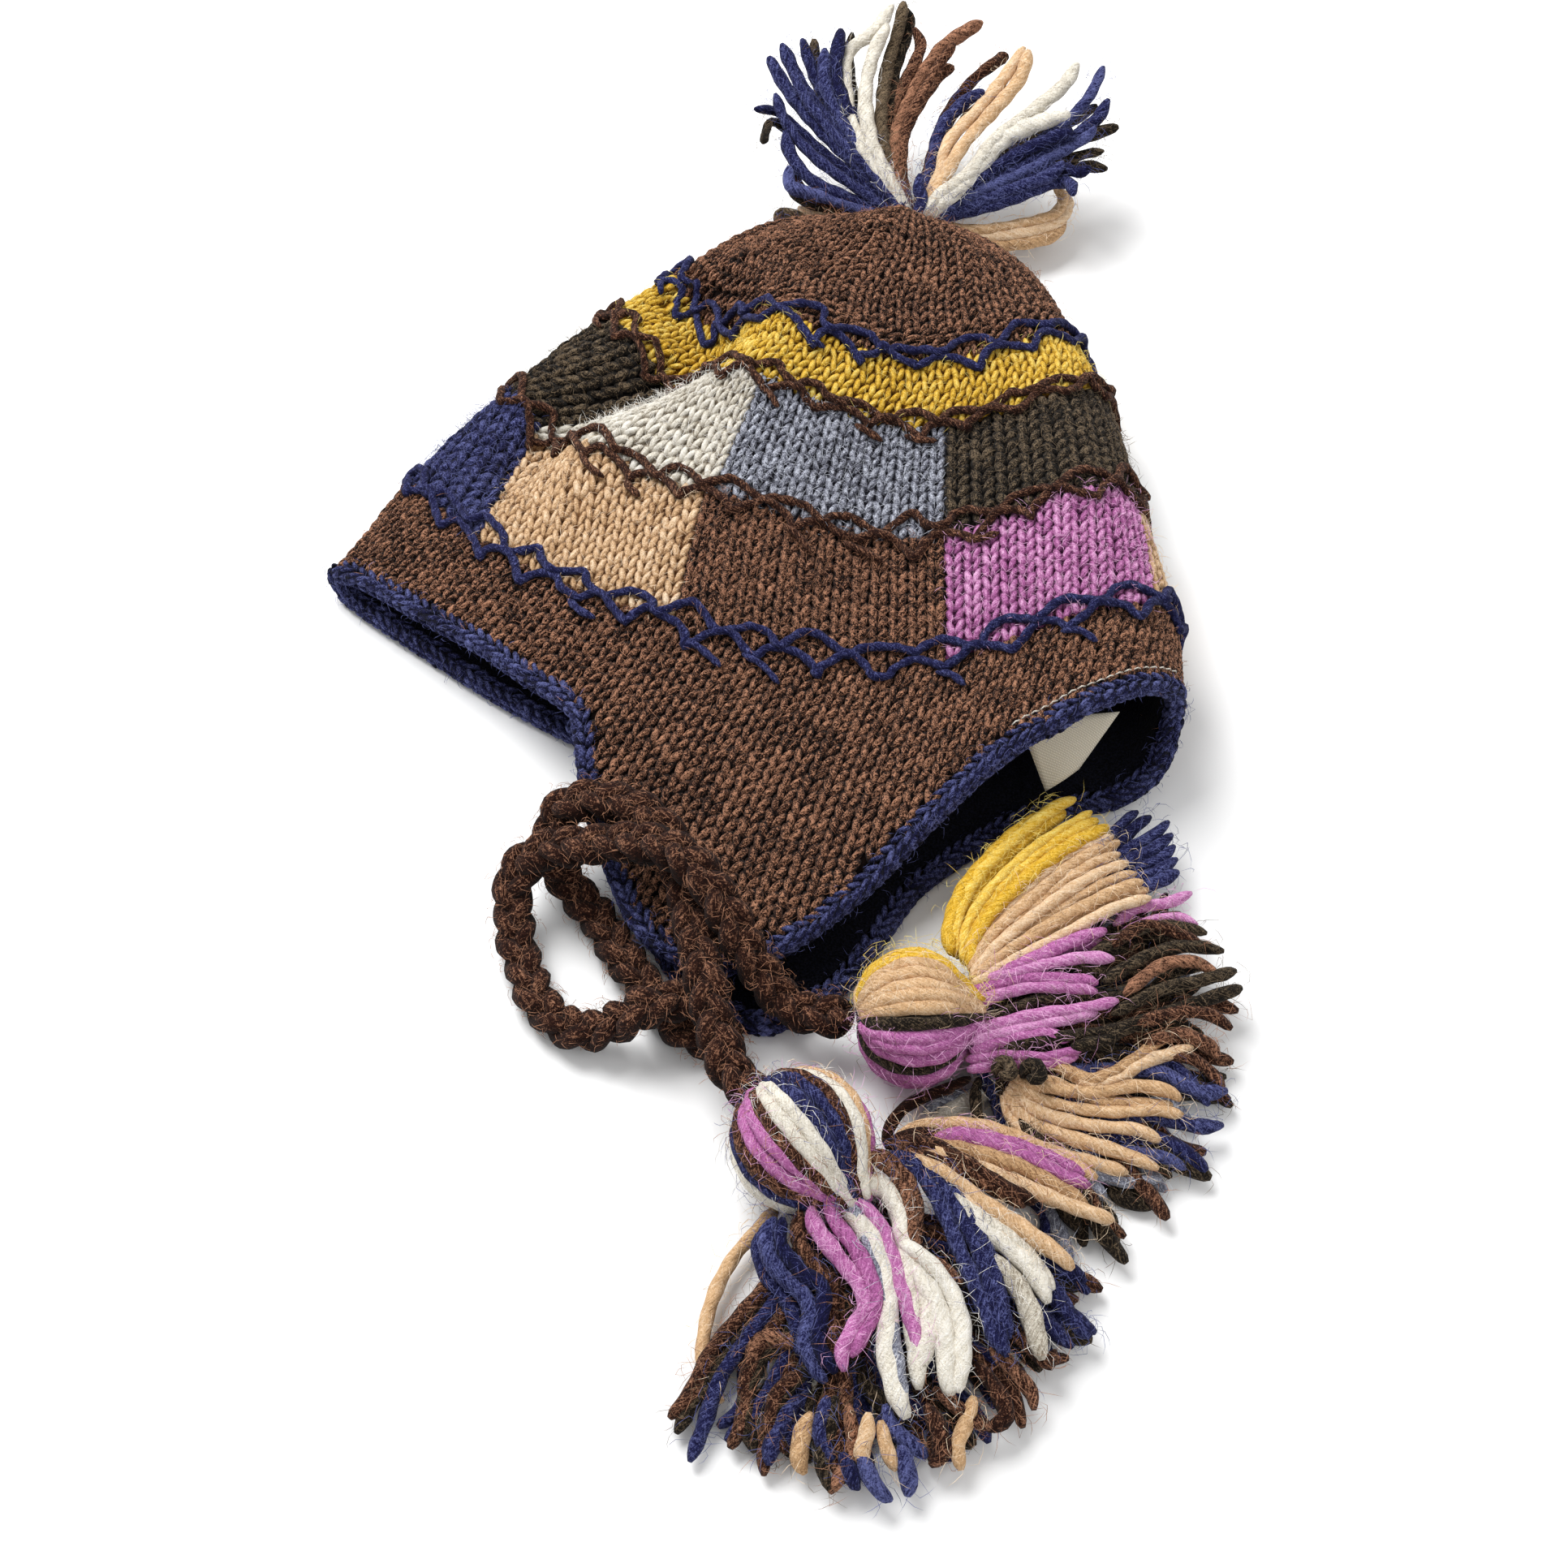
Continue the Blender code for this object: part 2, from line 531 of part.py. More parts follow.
def make_tassel(name, locks, hat):
    """A tassel: a wound ball, and locks of loose yarn that fan out flat on the floor."""
    radius = TASSEL_BALL / 2
    centre = Vector((*TASSELS[name]["ball"], radius))
    ball = make_ball(name, centre, (radius * BALL_FLATTENING, radius, radius), hat)
    root = Vector((*TASSELS[name]["root"], 0.0)) - centre
    pieces = []
    for k, (turn, length, width, lift) in enumerate(locks):
        way = Vector((math.cos(math.radians(turn)), math.sin(math.radians(turn)), 0.0))
        spine, widths, depths = [], [], []
        for along, wide, tall in SKIRT_SECTIONS:
            depths.append(SKIRT_DEPTH * (tall if tall else lift))
            widths.append(SKIRT_DEPTH * (width * wide))
            floor = UP * (depths[-1] / 2 + GAP)
            spine.append(root + way * (SKIRT_LENGTH * length * along) + floor)
        pieces.append(lock_mesh("%s_lock_%02d" % (name, k), spine, widths, depths, UP))
    fuse(ball, pieces)


def make_tuft(hat):
    """Crown tuft: a knot at the apex with locks of yarn that fan up and back."""
    half = TUFT_KNOT / 2
    centre = knit_point(0.0, 0.0, True) + Vector((0.0, TUFT_KNOT * KNOT_SEAT, 0.0))
    knot = make_ball("crown_tuft", centre, (half, half, half), hat)
    pieces = []
    for k, (turn, rise, length, width) in enumerate(TUFT_LOCKS):
        flat = math.cos(math.radians(rise))
        way = Vector((math.sin(math.radians(turn)) * flat, math.cos(math.radians(turn)) * flat,
                      math.sin(math.radians(rise))))
        spine, widths, depths = [], [], []
        for along, wide, tall in TUFT_SECTIONS:
            spine.append(way * (TUFT_LENGTH * length * along))
            widths.append(TUFT_KNOT * width * wide)
            depths.append(TUFT_KNOT * tall)
        pieces.append(lock_mesh("tuft_lock_%02d" % k, spine, widths, depths, UP))
    fuse(knot, pieces)


def main():
    hat = make_hat_empty()
    surface, edge, inner_ring = knit_surface()
    make_shell(surface, hat)
    make_lining(surface, hat)
    make_trim(surface, edge, inner_ring, hat)
    make_label(hat)
    make_tie("far_tie", FAR_TIE_ROUTE, hat)
    make_tie("near_tie", NEAR_TIE_ROUTE, hat)
    make_tassel("near_tassel", NEAR_TASSEL_LOCKS, hat)
    make_tassel("far_tassel", FAR_TASSEL_LOCKS, hat)
    make_tuft(hat)


main()
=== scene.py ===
# %% [markdown]
# A knitted earflap hat. It lies on its side on a pale floor, softly puffed, with its opening towards
# us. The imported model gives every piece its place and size; here each piece gets its yarn. We work
# from the camera and the two cords to the knitting, the stitched lines, the edge, the lining, and
# last the tassels, the crown tuft and the loose wool fibres.

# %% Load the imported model
import math

import bpy
import numpy as np
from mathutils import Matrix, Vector


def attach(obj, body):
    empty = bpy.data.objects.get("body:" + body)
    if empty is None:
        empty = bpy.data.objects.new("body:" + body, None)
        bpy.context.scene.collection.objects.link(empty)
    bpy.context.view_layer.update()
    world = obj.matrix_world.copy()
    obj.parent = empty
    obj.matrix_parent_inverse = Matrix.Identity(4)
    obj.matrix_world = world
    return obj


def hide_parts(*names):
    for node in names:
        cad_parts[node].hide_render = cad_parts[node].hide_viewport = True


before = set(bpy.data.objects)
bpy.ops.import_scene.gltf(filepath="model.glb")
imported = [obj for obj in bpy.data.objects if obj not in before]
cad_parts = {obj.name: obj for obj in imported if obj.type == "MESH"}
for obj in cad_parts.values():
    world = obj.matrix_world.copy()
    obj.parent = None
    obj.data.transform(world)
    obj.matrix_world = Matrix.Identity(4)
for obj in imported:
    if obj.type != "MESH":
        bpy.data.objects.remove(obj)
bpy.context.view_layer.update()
rng = np.random.default_rng(7)
bpy.ops.object.select_all(action="DESELECT")
print("pieces of the packed model:", sorted(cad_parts))

# %% [markdown]
# The camera stands above the floor, in front of the opening and a little to its right. It looks
# down by 55 degrees, as in the photograph. A long lens from 76 cm keeps the hat's shape calm.

# %% Camera
bpy.ops.object.camera_add(location=(0.1177, -0.5362, 0.6226))
camera = bpy.context.object
camera.name = "camera"
aim = Vector((0.0122, -0.1132, 0.0)) - camera.location
camera.rotation_euler = aim.to_track_quat("-Z", "Y").to_euler()
camera.data.sensor_width = 36.0
camera.data.lens = 56.65
bpy.context.scene.camera = camera
bpy.context.scene.view_settings.view_transform = "Standard"
print("camera looks down by", round(math.degrees(math.asin(-aim.normalized().z)), 1), "degrees")

# %% [markdown]
# Loose yarn has no rule to follow, so its strands are traced: each one is a few places in the square
# picture, and a height above the floor. This helper goes from the lens through such a place down to
# that height.

# %% From a place in the picture to a point on the hat
PICTURE = 1932
FOCUS = camera.data.lens / camera.data.sensor_width * PICTURE


def seen(across, down, height):
    """The point at a height above the floor that the camera sees at a place in the picture."""
    ahead = aim.normalized()
    right = ahead.cross(Vector((0.0, 0.0, 1.0))).normalized()
    up = right.cross(ahead)
    ray = ahead + right * ((across - PICTURE / 2) / FOCUS) + up * ((PICTURE / 2 - down) / FOCUS)
    return np.array(camera.location + ray * ((height - camera.location.z) / ray.z))


print("the middle of the picture lies at", np.round(seen(PICTURE / 2, PICTURE / 2, 0.0), 4))

# %% [markdown]
# Wool colours. Each yarn has a dark shade for its shadows between fibres, its own shade, and a
# light one for the fibres that catch the light. They are written as the eye sees them, 0 to 255,
# and turned into linear light once.

# %% Yarn shades
SHADES = {
    "brown": ((6, 1, 0), (42, 17, 9), (188, 136, 106)),
    "navy": ((2, 2, 18), (22, 23, 66), (104, 110, 164)),
    "yellow": ((88, 50, 1), (224, 176, 48), (255, 236, 140)),
    "olive": ((4, 2, 1), (22, 16, 10), (124, 106, 84)),
    "cream": ((128, 114, 94), (230, 223, 208), (255, 252, 246)),
    "grey": ((26, 24, 32), (120, 122, 136), (216, 220, 232)),
    "tan": ((100, 62, 32), (212, 172, 128), (255, 232, 202)),
    "orchid": ((64, 18, 54), (184, 104, 164), (250, 198, 236)),
}


def linear(shade):
    """A shade from 0 to 255 as linear light, with full opacity."""
    parts = [c / 255 for c in shade]
    return tuple(c / 12.92 if c <= 0.04045 else ((c + 0.055) / 1.055) ** 2.4 for c in parts) + (1.0,)


# %% [markdown]
# Yarn is not one flat colour. Two plies twist round each other, and in each ply the fibres run
# almost straight. So the material reads the strand's own UV map: u goes round the strand and v
# along it, so that 2u - v is constant along a ply. A wave of that number paints shade into the
# groove between plies, and noise stretched along it draws single fibres, some dark and some light.
# A number stored on each point shifts the tone: every stitch differs a little at random, and painted
# shade makes it darker on its underside, where it dives down and between a tie's strands, while
# loose fibres get a painted highlight. Last, thin bent lines of painted highlight stand for the
# fibres that curl over the yarn and catch the light. They lie where a second noise crosses its
# middle value.

# %% Wool material
def wool(name, shades, heather, ply=0.5):
    """A yarn material. heather: how strongly light and dark fibres mix. ply: depth of the twist."""
    dark, middle, light = [linear(shade) for shade in shades]
    material = bpy.data.materials.new(name)
    material.use_nodes = True
    nodes, links = material.node_tree.nodes, material.node_tree.links
    shader = nodes["Principled BSDF"]
    shader.inputs["Roughness"].default_value = 0.9
    shader.inputs["Specular IOR Level"].default_value = 0.12
    shader.inputs["Sheen Weight"].default_value = 0.04
    shader.inputs["Sheen Roughness"].default_value = 0.5

    def maths(operation, *values):
        """A Math node whose inputs are sockets or plain numbers."""
        node = nodes.new("ShaderNodeMath")
        node.operation = operation
        for socket, value in zip(node.inputs, values):
            if isinstance(value, (int, float)):
                socket.default_value = value
            else:
                links.new(value, socket)
        return node.outputs["Value"]

    strand = nodes.new("ShaderNodeUVMap")
    strand.uv_map = "strand"
    split = nodes.new("ShaderNodeSeparateXYZ")
    links.new(strand.outputs["UV"], split.inputs["Vector"])
    tone = nodes.new("ShaderNodeAttribute")
    tone.attribute_name = "tone"
    where = nodes.new("ShaderNodeTexCoord")
    slant = maths("SUBTRACT", maths("MULTIPLY", split.outputs["X"], 2.0), split.outputs["Y"])
    groove = maths("COSINE", maths("MULTIPLY", slant, 2 * math.pi))

    along_ply = nodes.new("ShaderNodeCombineXYZ")
    links.new(maths("MULTIPLY", slant, 7.0), along_ply.inputs["X"])
    links.new(maths("MULTIPLY", split.outputs["Y"], 1.1), along_ply.inputs["Y"])
    links.new(maths("MULTIPLY", tone.outputs["Fac"], 4.0), along_ply.inputs["Z"])
    fibres = nodes.new("ShaderNodeTexNoise")
    fibres.inputs["Scale"].default_value = 1.5
    fibres.inputs["Detail"].default_value = 4.0
    fibres.inputs["Roughness"].default_value = 0.7
    links.new(along_ply.outputs["Vector"], fibres.inputs["Vector"])
    curls = nodes.new("ShaderNodeTexNoise")
    curls.inputs["Scale"].default_value = 1100.0
    curls.inputs["Detail"].default_value = 3.0
    curls.inputs["Distortion"].default_value = 1.5
    links.new(where.outputs["Object"], curls.inputs["Vector"])

    stray = nodes.new("ShaderNodeTexNoise")
    stray.inputs["Scale"].default_value = 330.0
    stray.inputs["Detail"].default_value = 2.0
    stray.inputs["Distortion"].default_value = 2.0
    links.new(where.outputs["Object"], stray.inputs["Vector"])

    streak = maths("MULTIPLY", maths("SUBTRACT", fibres.outputs["Fac"], 0.5), 3.8 * heather)
    speck = maths("MULTIPLY", maths("SUBTRACT", curls.outputs["Fac"], 0.5), 3.0 * heather)
    off_line = maths("ABSOLUTE", maths("SUBTRACT", stray.outputs["Fac"], 0.5))
    curl = maths("MAXIMUM", maths("SUBTRACT", 1.0, maths("MULTIPLY", off_line, 30.0)), 0.0)
    level = maths("ADD", maths("ADD", streak, speck), 0.5)
    # Painted highlight: thin curling lines lighter, as fibres that catch the light.
    level = maths("ADD", level, maths("MULTIPLY", curl, 0.34 * heather))
    # Painted shade: darker in the groove between plies, lighter on their crests.
    level = maths("ADD", level, maths("MULTIPLY", groove, 0.12 * ply))
    level = maths("ADD", level, maths("MULTIPLY", tone.outputs["Fac"], 0.16))
    ramp = nodes.new("ShaderNodeValToRGB")
    ramp.color_ramp.elements[0].position = 0.0
    ramp.color_ramp.elements[0].color = dark
    ramp.color_ramp.elements[1].position = 1.0
    ramp.color_ramp.elements[1].color = light
    ramp.color_ramp.elements.new(0.5).color = middle
    links.new(level, ramp.inputs["Fac"])
    links.new(ramp.outputs["Color"], shader.inputs["Base Color"])

    height = maths("ADD", maths("MULTIPLY", groove, ply), maths("ADD", fibres.outputs["Fac"],
                                                               curls.outputs["Fac"]))
    bump = nodes.new("ShaderNodeBump")
    bump.inputs["Strength"].default_value = 0.8
    bump.inputs["Distance"].default_value = 0.0007
    links.new(height, bump.inputs["Height"])
    links.new(bump.outputs["Normal"], shader.inputs["Normal"])
    return material


HEATHER = {name: 0.42 for name in SHADES}
HEATHER.update(brown=1.0, olive=0.8, grey=0.7, navy=0.6)
WOOL = {name: wool(name + "_yarn", shades, HEATHER[name]) for name, shades in SHADES.items()}
# The loose yarn of ties, tassels and stitched lines is hardly twisted, so its fibres run along it.
LOOSE = {name: wool(name + "_loose_yarn", shades, min(0.40, 0.7 * HEATHER[name]), 0.12)
         for name, shades in SHADES.items()}
print("yarns:", ", ".join(WOOL))

# %% [markdown]
# Thousands of strands and stitches are too many for an operator each, so their points are worked
# out together and written to one mesh. A strand is a bag of points, face corners and face sizes.

# %% Helpers that write meshes
FLOOR_CONTACT = 0.0001  # what would sink into the floor is pressed flat on it


def join(bags):
    """Several bags of (points, corners, sizes, uvs, tones) as one."""
    base = np.cumsum([0] + [len(bag[0]) for bag in bags[:-1]])
    return (np.concatenate([bag[0] for bag in bags]),
            np.concatenate([bag[1] + b for bag, b in zip(bags, base)]),
            np.concatenate([bag[2] for bag in bags]),
            np.concatenate([bag[3] for bag in bags]),
            np.concatenate([bag[4] for bag in bags]))


def write_piece(name, bags, material, replaces=()):
    """One object from bags, riding on the hat, with its strand map and its tone."""
    points, corners, sizes, uvs, tones = join(bags)
    points[:, 2] = np.maximum(points[:, 2], FLOOR_CONTACT)
    mesh = bpy.data.meshes.new(name)
    mesh.vertices.add(len(points))
    mesh.vertices.foreach_set("co", np.asarray(points, np.float32).ravel())
    mesh.loops.add(len(corners))
    mesh.loops.foreach_set("vertex_index", np.asarray(corners, np.int32))
    mesh.polygons.add(len(sizes))
    starts = np.concatenate([[0], np.cumsum(sizes)[:-1]])
    mesh.polygons.foreach_set("loop_start", np.asarray(starts, np.int32))
    mesh.update(calc_edges=True)
    mesh.uv_layers.new(name="strand")
    mesh.uv_layers["strand"].data.foreach_set("uv", np.asarray(uvs, np.float32).ravel())
    mesh.attributes.new("tone", "FLOAT", "POINT")
    mesh.attributes["tone"].data.foreach_set("value", np.asarray(tones, np.float32))
    mesh.shade_smooth()
    mesh.materials.append(material)
    made = bpy.data.objects.new(name, mesh)
    bpy.context.scene.collection.objects.link(made)
    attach(made, "root")
    if replaces:
        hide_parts(*replaces)
    print(name, "has", int((np.asarray(sizes) - 2).sum()), "triangles")
    return made


def write_colours(name, bags, replaces=()):
    """One object from bags of several colours, kept as pairs of colour and bag."""
    made = write_piece(name, [bag for _, bag in bags], LOOSE[bags[0][0]], replaces)
    colours = sorted({colour for colour, _ in bags})
    made.data.materials.clear()
    for colour in colours:
        made.data.materials.append(LOOSE[colour])
    owners = [np.full(len(bag[2]), colours.index(colour)) for colour, bag in bags]
    made.data.polygons.foreach_set("material_index", np.concatenate(owners).astype(np.int32))
    return made


def unit(vectors):
    return vectors / np.maximum(np.linalg.norm(vectors, axis=-1, keepdims=True), 1e-12)


# %% [markdown]
# A round strand needs a frame that does not twist by itself as the path bends. We carry the
# sideways direction from point to point and only take out what no longer lies square to the path.

# %% Strands
def carried_frames(path, start):
    """Tangents and two square directions along a path, from a first sideways direction."""
    ahead = unit(np.gradient(path, axis=0))
    side = np.empty_like(path)
    now = np.asarray(start, float)
    for k, tangent in enumerate(ahead):
        now = now - tangent * now.dot(tangent)
        now = now / np.linalg.norm(now)
        side[k] = now
    return ahead, side, np.cross(ahead, side)


def lengths_along(path):
    return np.concatenate([[0.0], np.cumsum(np.linalg.norm(np.diff(path, axis=0), axis=1))])


def tube(path, radius, sides=6, tone=0.0, grain=0.004, start=(0.31, 0.22, 0.93)):
    """A strand along a path, closed at both ends. radius: one, one a point, or one a corner."""
    path = np.asarray(path, float)
    radius = np.asarray(radius, float)
    if radius.ndim == 1:
        radius = radius[:, None]
    radius = np.broadcast_to(radius, (len(path), sides))
    _, side, over = carried_frames(path, start)
    turn = np.arange(sides) / sides * 2 * math.pi
    ring = (np.cos(turn)[None, :, None] * side[:, None, :]
            + np.sin(turn)[None, :, None] * over[:, None, :])
    points = (path[:, None, :] + ring * radius[:, :, None]).reshape(-1, 3)
    along = lengths_along(path) / grain
    i, k = np.meshgrid(np.arange(len(path) - 1), np.arange(sides), indexing="ij")
    i, k = i.ravel(), k.ravel()
    after = (k + 1) % sides
    quads = np.stack([i * sides + k, i * sides + after, (i + 1) * sides + after,
                      (i + 1) * sides + k], 1)
    u0, u1 = k / sides, (k + 1) / sides
    uv = np.stack([np.stack([u0, along[i]], 1), np.stack([u1, along[i]], 1),
                   np.stack([u1, along[i + 1]], 1), np.stack([u0, along[i + 1]], 1)], 1)
    first = np.arange(sides)[::-1]
    last = (len(path) - 1) * sides + np.arange(sides)
    caps = np.tile([[0.5, along[0]]], (sides, 1)), np.tile([[0.5, along[-1]]], (sides, 1))
    return (points, np.concatenate([quads.ravel(), first, last]),
            np.concatenate([np.full(len(quads), 4), [sides, sides]]),
            np.concatenate([uv.reshape(-1, 2), *caps]), np.full(len(points), tone))


def resample(route, step):
    """Evenly spaced points of a smooth curve through a route."""
    route = np.asarray(route, float)
    padded = np.vstack([2 * route[0] - route[1], route, 2 * route[-1] - route[-2]])
    share = np.linspace(0, 1, 16, endpoint=False)[:, None]
    fine = [0.5 * (2 * b + (c - a) * share + (2 * a - 5 * b + 4 * c - d) * share ** 2
                   + (3 * b - a - 3 * c + d) * share ** 3)
            for a, b, c, d in zip(padded, padded[1:], padded[2:], padded[3:])]
    fine = np.vstack(fine + [route[-1:]])
    along = lengths_along(fine)
    wanted = np.linspace(0.0, along[-1], max(int(round(along[-1] / step)), 3) + 1)
    return np.stack([np.interp(wanted, along, fine[:, k]) for k in range(3)], 1)


def yarn(route, radius, pitch=0.0170, sides=8, lobe=0.07, step=0.0015, phase=0.0, tone=0.0):
    """A softly twisted two-ply yarn: a strand with two lobes that wind round it."""
    path = resample(route, step)
    along = lengths_along(path)
    turn = np.arange(sides)[None, :] / sides * 2 * math.pi
    twist = 2 * math.pi * along[:, None] / pitch + phase
    ends = np.clip(np.minimum(along, along[-1] - along) / (2.2 * radius), 0, 1)
    thick = 0.34 + 0.66 * np.sqrt(ends)
    wander = 1 + 0.05 * np.sin(along / 0.011 + 5 * phase) + 0.05 * np.sin(along / 0.0043 + 3 * phase)
    shape = radius * (1 + lobe * np.cos(2 * (turn - twist)))
    bag = tube(path, shape * (thick * wander)[:, None], sides, tone, pitch / 2)
    bag[3][:, 1] += phase / math.pi
    return [bag]


# %% [markdown]
# The two ties are three-strand plaits. Each starts at the tip of an earflap, makes a loop on the
# floor and over the flaps, and ends in a tassel. The points are the same as those of the packed
# model's plain cords. In a plait every strand swings from side to side once per pitch, and dives
# under the middle twice, a third of a turn behind its neighbour.

# %% Braided ties
FAR_TIE_ROUTE = (
    (0.0232, -0.2062, 0.0056), (0.0175, -0.2079, 0.0056), (0.0092, -0.2080, 0.0056),
    (0.0010, -0.2044, 0.0056), (-0.0078, -0.1964, 0.0056), (-0.0178, -0.1875, 0.0056),
    (-0.0262, -0.1790, 0.0056), (-0.0340, -0.1726, 0.0060), (-0.0405, -0.1682, 0.0076),
    (-0.0450, -0.1642, 0.0112), (-0.0470, -0.1594, 0.0168), (-0.0455, -0.1550, 0.0228),
    (-0.0405, -0.1526, 0.0274), (-0.0325, -0.1518, 0.0296), (-0.0225, -0.1526, 0.0300),
    (-0.0130, -0.1570, 0.0290), (-0.0065, -0.1648, 0.0276), (-0.0012, -0.1748, 0.0260),
    (0.0040, -0.1852, 0.0250), (0.0092, -0.1962, 0.0250), (0.0140, -0.2062, 0.0230),
    (0.0184, -0.2146, 0.0200), (0.0240, -0.2222, 0.0182), (0.0341, -0.2301, 0.0180),
)
NEAR_TIE_ROUTE = (
    (0.0106, -0.1928, 0.0134), (0.0088, -0.1984, 0.0142), (0.0040, -0.2032, 0.0158),
    (-0.0022, -0.2072, 0.0168), (-0.0088, -0.2110, 0.0138), (-0.0155, -0.2140, 0.0090),
    (-0.0228, -0.2148, 0.0060), (-0.0304, -0.2128, 0.0056), (-0.0385, -0.2062, 0.0056),
    (-0.0452, -0.1968, 0.0058), (-0.0505, -0.1872, 0.0078), (-0.0534, -0.1788, 0.0122),
    (-0.0520, -0.1724, 0.0176), (-0.0478, -0.1692, 0.0218), (-0.0415, -0.1678, 0.0248),
    (-0.0345, -0.1672, 0.0276), (-0.0260, -0.1662, 0.0306), (-0.0175, -0.1664, 0.0342),
    (-0.0100, -0.1680, 0.0376), (-0.0025, -0.1710, 0.0388), (0.0052, -0.1758, 0.0370),
    (0.0122, -0.1818, 0.0330), (0.0184, -0.1876, 0.0280), (0.0248, -0.1924, 0.0222),
    (0.0320, -0.1960, 0.0162), (0.0405, -0.1980, 0.0138), (0.0528, -0.1966, 0.0158),
)
BRAID_PITCH = 0.026  # length in which a strand comes back to its side
BRAID_STRAND = 0.0030  # radius of one strand
BRAID_SIDES = 10
SWING, DIP = 0.0033, 0.0021  # how far a strand moves sideways, and up and down
# Painted shade: a strand darkens the lower it lies, between and under the others; the whole tie is also a
# little darker in colour.
PAINTED_SHADE_BY_HEIGHT, PAINTED_SHADE_AT_MIDDLE, PAINTED_SHADE_ON_TOP = 340, -1.9, -0.3  # darker between the strands


def braid(route, seed):
    """Three strands plaited flat along a route, and the route's own even points."""
    path = resample(route, 0.0010)
    ahead = unit(np.gradient(path, axis=0))
    side = unit(np.cross(ahead, [0.0, 0.0, 1.0]))
    over = np.cross(side, ahead)
    along = lengths_along(path)
    bags = []
    for k in range(3):
        turn = 2 * math.pi * (along / BRAID_PITCH + k / 3) + seed
        swing = np.sin(turn)[:, None] * side * SWING
        dive = np.sin(2 * turn)[:, None] * over * DIP
        strand = path + swing + dive
        strand[:, 2] = np.maximum(strand[:, 2], 0.0028)
        points, corners, sizes, uvs, _ = yarn(strand, BRAID_STRAND, pitch=0.030, sides=BRAID_SIDES,
                                              lobe=0.08, phase=2.0 * k)[0]
        rings = np.round(np.linspace(0, len(path) - 1, len(points) // BRAID_SIDES)).astype(int)
        beside = np.repeat(rings, BRAID_SIDES)
        above = ((points - path[beside]) * over[beside]).sum(-1)
        # Painted shade by height above the tie's middle line.
        tone = np.minimum(PAINTED_SHADE_BY_HEIGHT * above + PAINTED_SHADE_AT_MIDDLE, PAINTED_SHADE_ON_TOP)
        bags.append((points, corners, sizes, uvs, tone))
    return bags, path


far_bags, far_path = braid(FAR_TIE_ROUTE, 0.4)
near_bags, near_path = braid(NEAR_TIE_ROUTE, 1.7)
far_braid = write_piece("far_tie_braid", far_bags, LOOSE["brown"], ["far_tie"])
near_braid = write_piece("near_tie_braid", near_bags, LOOSE["brown"], ["near_tie"])

# %% [markdown]
# The hat's surface. Its form was worked out flat: the crown's tip is the centre, every row of
# knitting is an arc round it, and a short table gives the height of the near side along five lines
# across the hat. We repeat that table here, so a stitch can be put at any row and place in it.
# Reach counts from the tip, as a share of the crown-to-rim length; across runs from -1 at the left
# fold to 1 at the right one, and on to 3 round the far side.

# %% The hat's surface
CROWN_TO_RIM = 0.240
HAT_WIDTH = 0.2775
PUFF = 0.050
FLAP_LENGTH = 0.070
TRIM_WIDTH = 0.0064
GAP = 0.0003
WALLS = 0.0036 + 0.0015 + GAP
APEX_FROM_MIDDLE = 0.49167 * CROWN_TO_RIM
# reach, left, right, fold_left, fold_right, round_left, round_right, and five heights
SECTIONS = np.array((
    (0.000, 90.0, 90.0, 0.40, 0.40, 0.52, 0.52, 0.68, 0.76, 0.84, 0.80, 0.76),
    (0.167, 82.0, 74.0, 0.34, 0.38, 0.54, 0.52, 0.62, 0.78, 0.90, 0.84, 0.80),
    (0.358, 63.0, 55.0, 0.24, 0.38, 0.56, 0.52, 0.52, 0.66, 0.94, 0.82, 0.86),
    (0.467, 57.0, 49.0, 0.20, 0.40, 0.56, 0.52, 0.48, 0.60, 0.92, 0.74, 0.90),
    (0.650, 49.0, 41.0, 0.18, 0.46, 0.56, 0.54, 0.42, 0.54, 0.80, 0.66, 0.98),
    (0.846, 42.5, 36.5, 0.18, 0.50, 0.52, 0.54, 0.38, 0.50, 0.64, 0.58, 0.98),
    (1.000, 38.0, 33.0, 0.18, 0.50, 0.52, 0.52, 0.38, 0.50, 0.56, 0.52, 0.92),
    (1.100, 37.0, 32.0, 0.18, 0.50, 0.52, 0.52, 0.36, 0.43, 0.44, 0.46, 0.90),
    (1.333, 35.0, 31.0, 0.18, 0.50, 0.52, 0.52, 0.30, 0.28, 0.27, 0.34, 0.84),
))
ACROSS = (-0.85, -0.50, -0.10, 0.32, 0.75)
NEAR_EDGE = np.array((
    (-1.00, 1.025, 0.00), (-0.80, 1.000, 0.00), (-0.55, 0.992, 0.00), (-0.36, 1.000, 0.03),
    (-0.26, 1.000, 0.09), (-0.22, 1.000, 0.21), (-0.17, 1.000, 0.40), (-0.085, 1.000, 0.67),
    (0.03, 1.000, 0.96), (0.12, 1.000, 1.01), (0.21, 1.000, 0.90), (0.33, 1.000, 0.63),
    (0.44, 1.000, 0.33), (0.56, 1.000, 0.10), (0.66, 1.000, 0.01), (0.75, 0.990, 0.00),
    (0.88, 0.975, 0.00), (1.00, 0.970, 0.00),
))
FAR_EDGE = np.array((
    (-1.00, 1.025, 0.00), (-0.60, 1.000, 0.00), (-0.24, 1.000, 0.02), (-0.19, 1.000, 0.10),
    (-0.13, 1.000, 0.31), (-0.05, 1.000, 0.60), (0.05, 1.000, 0.95), (0.14, 1.000, 1.13),
    (0.20, 1.000, 1.16), (0.30, 1.000, 0.98), (0.44, 1.000, 0.44), (0.60, 1.000, 0.17),
    (0.80, 1.024, 0.00), (0.94, 1.015, 0.00), (1.00, 0.970, 0.00),
))
FOLD_DEPTH, FOLD_WIDTH = 0.012, 0.013
BULGE_HEIGHT, BULGE_WIDTH = 0.007, 0.015
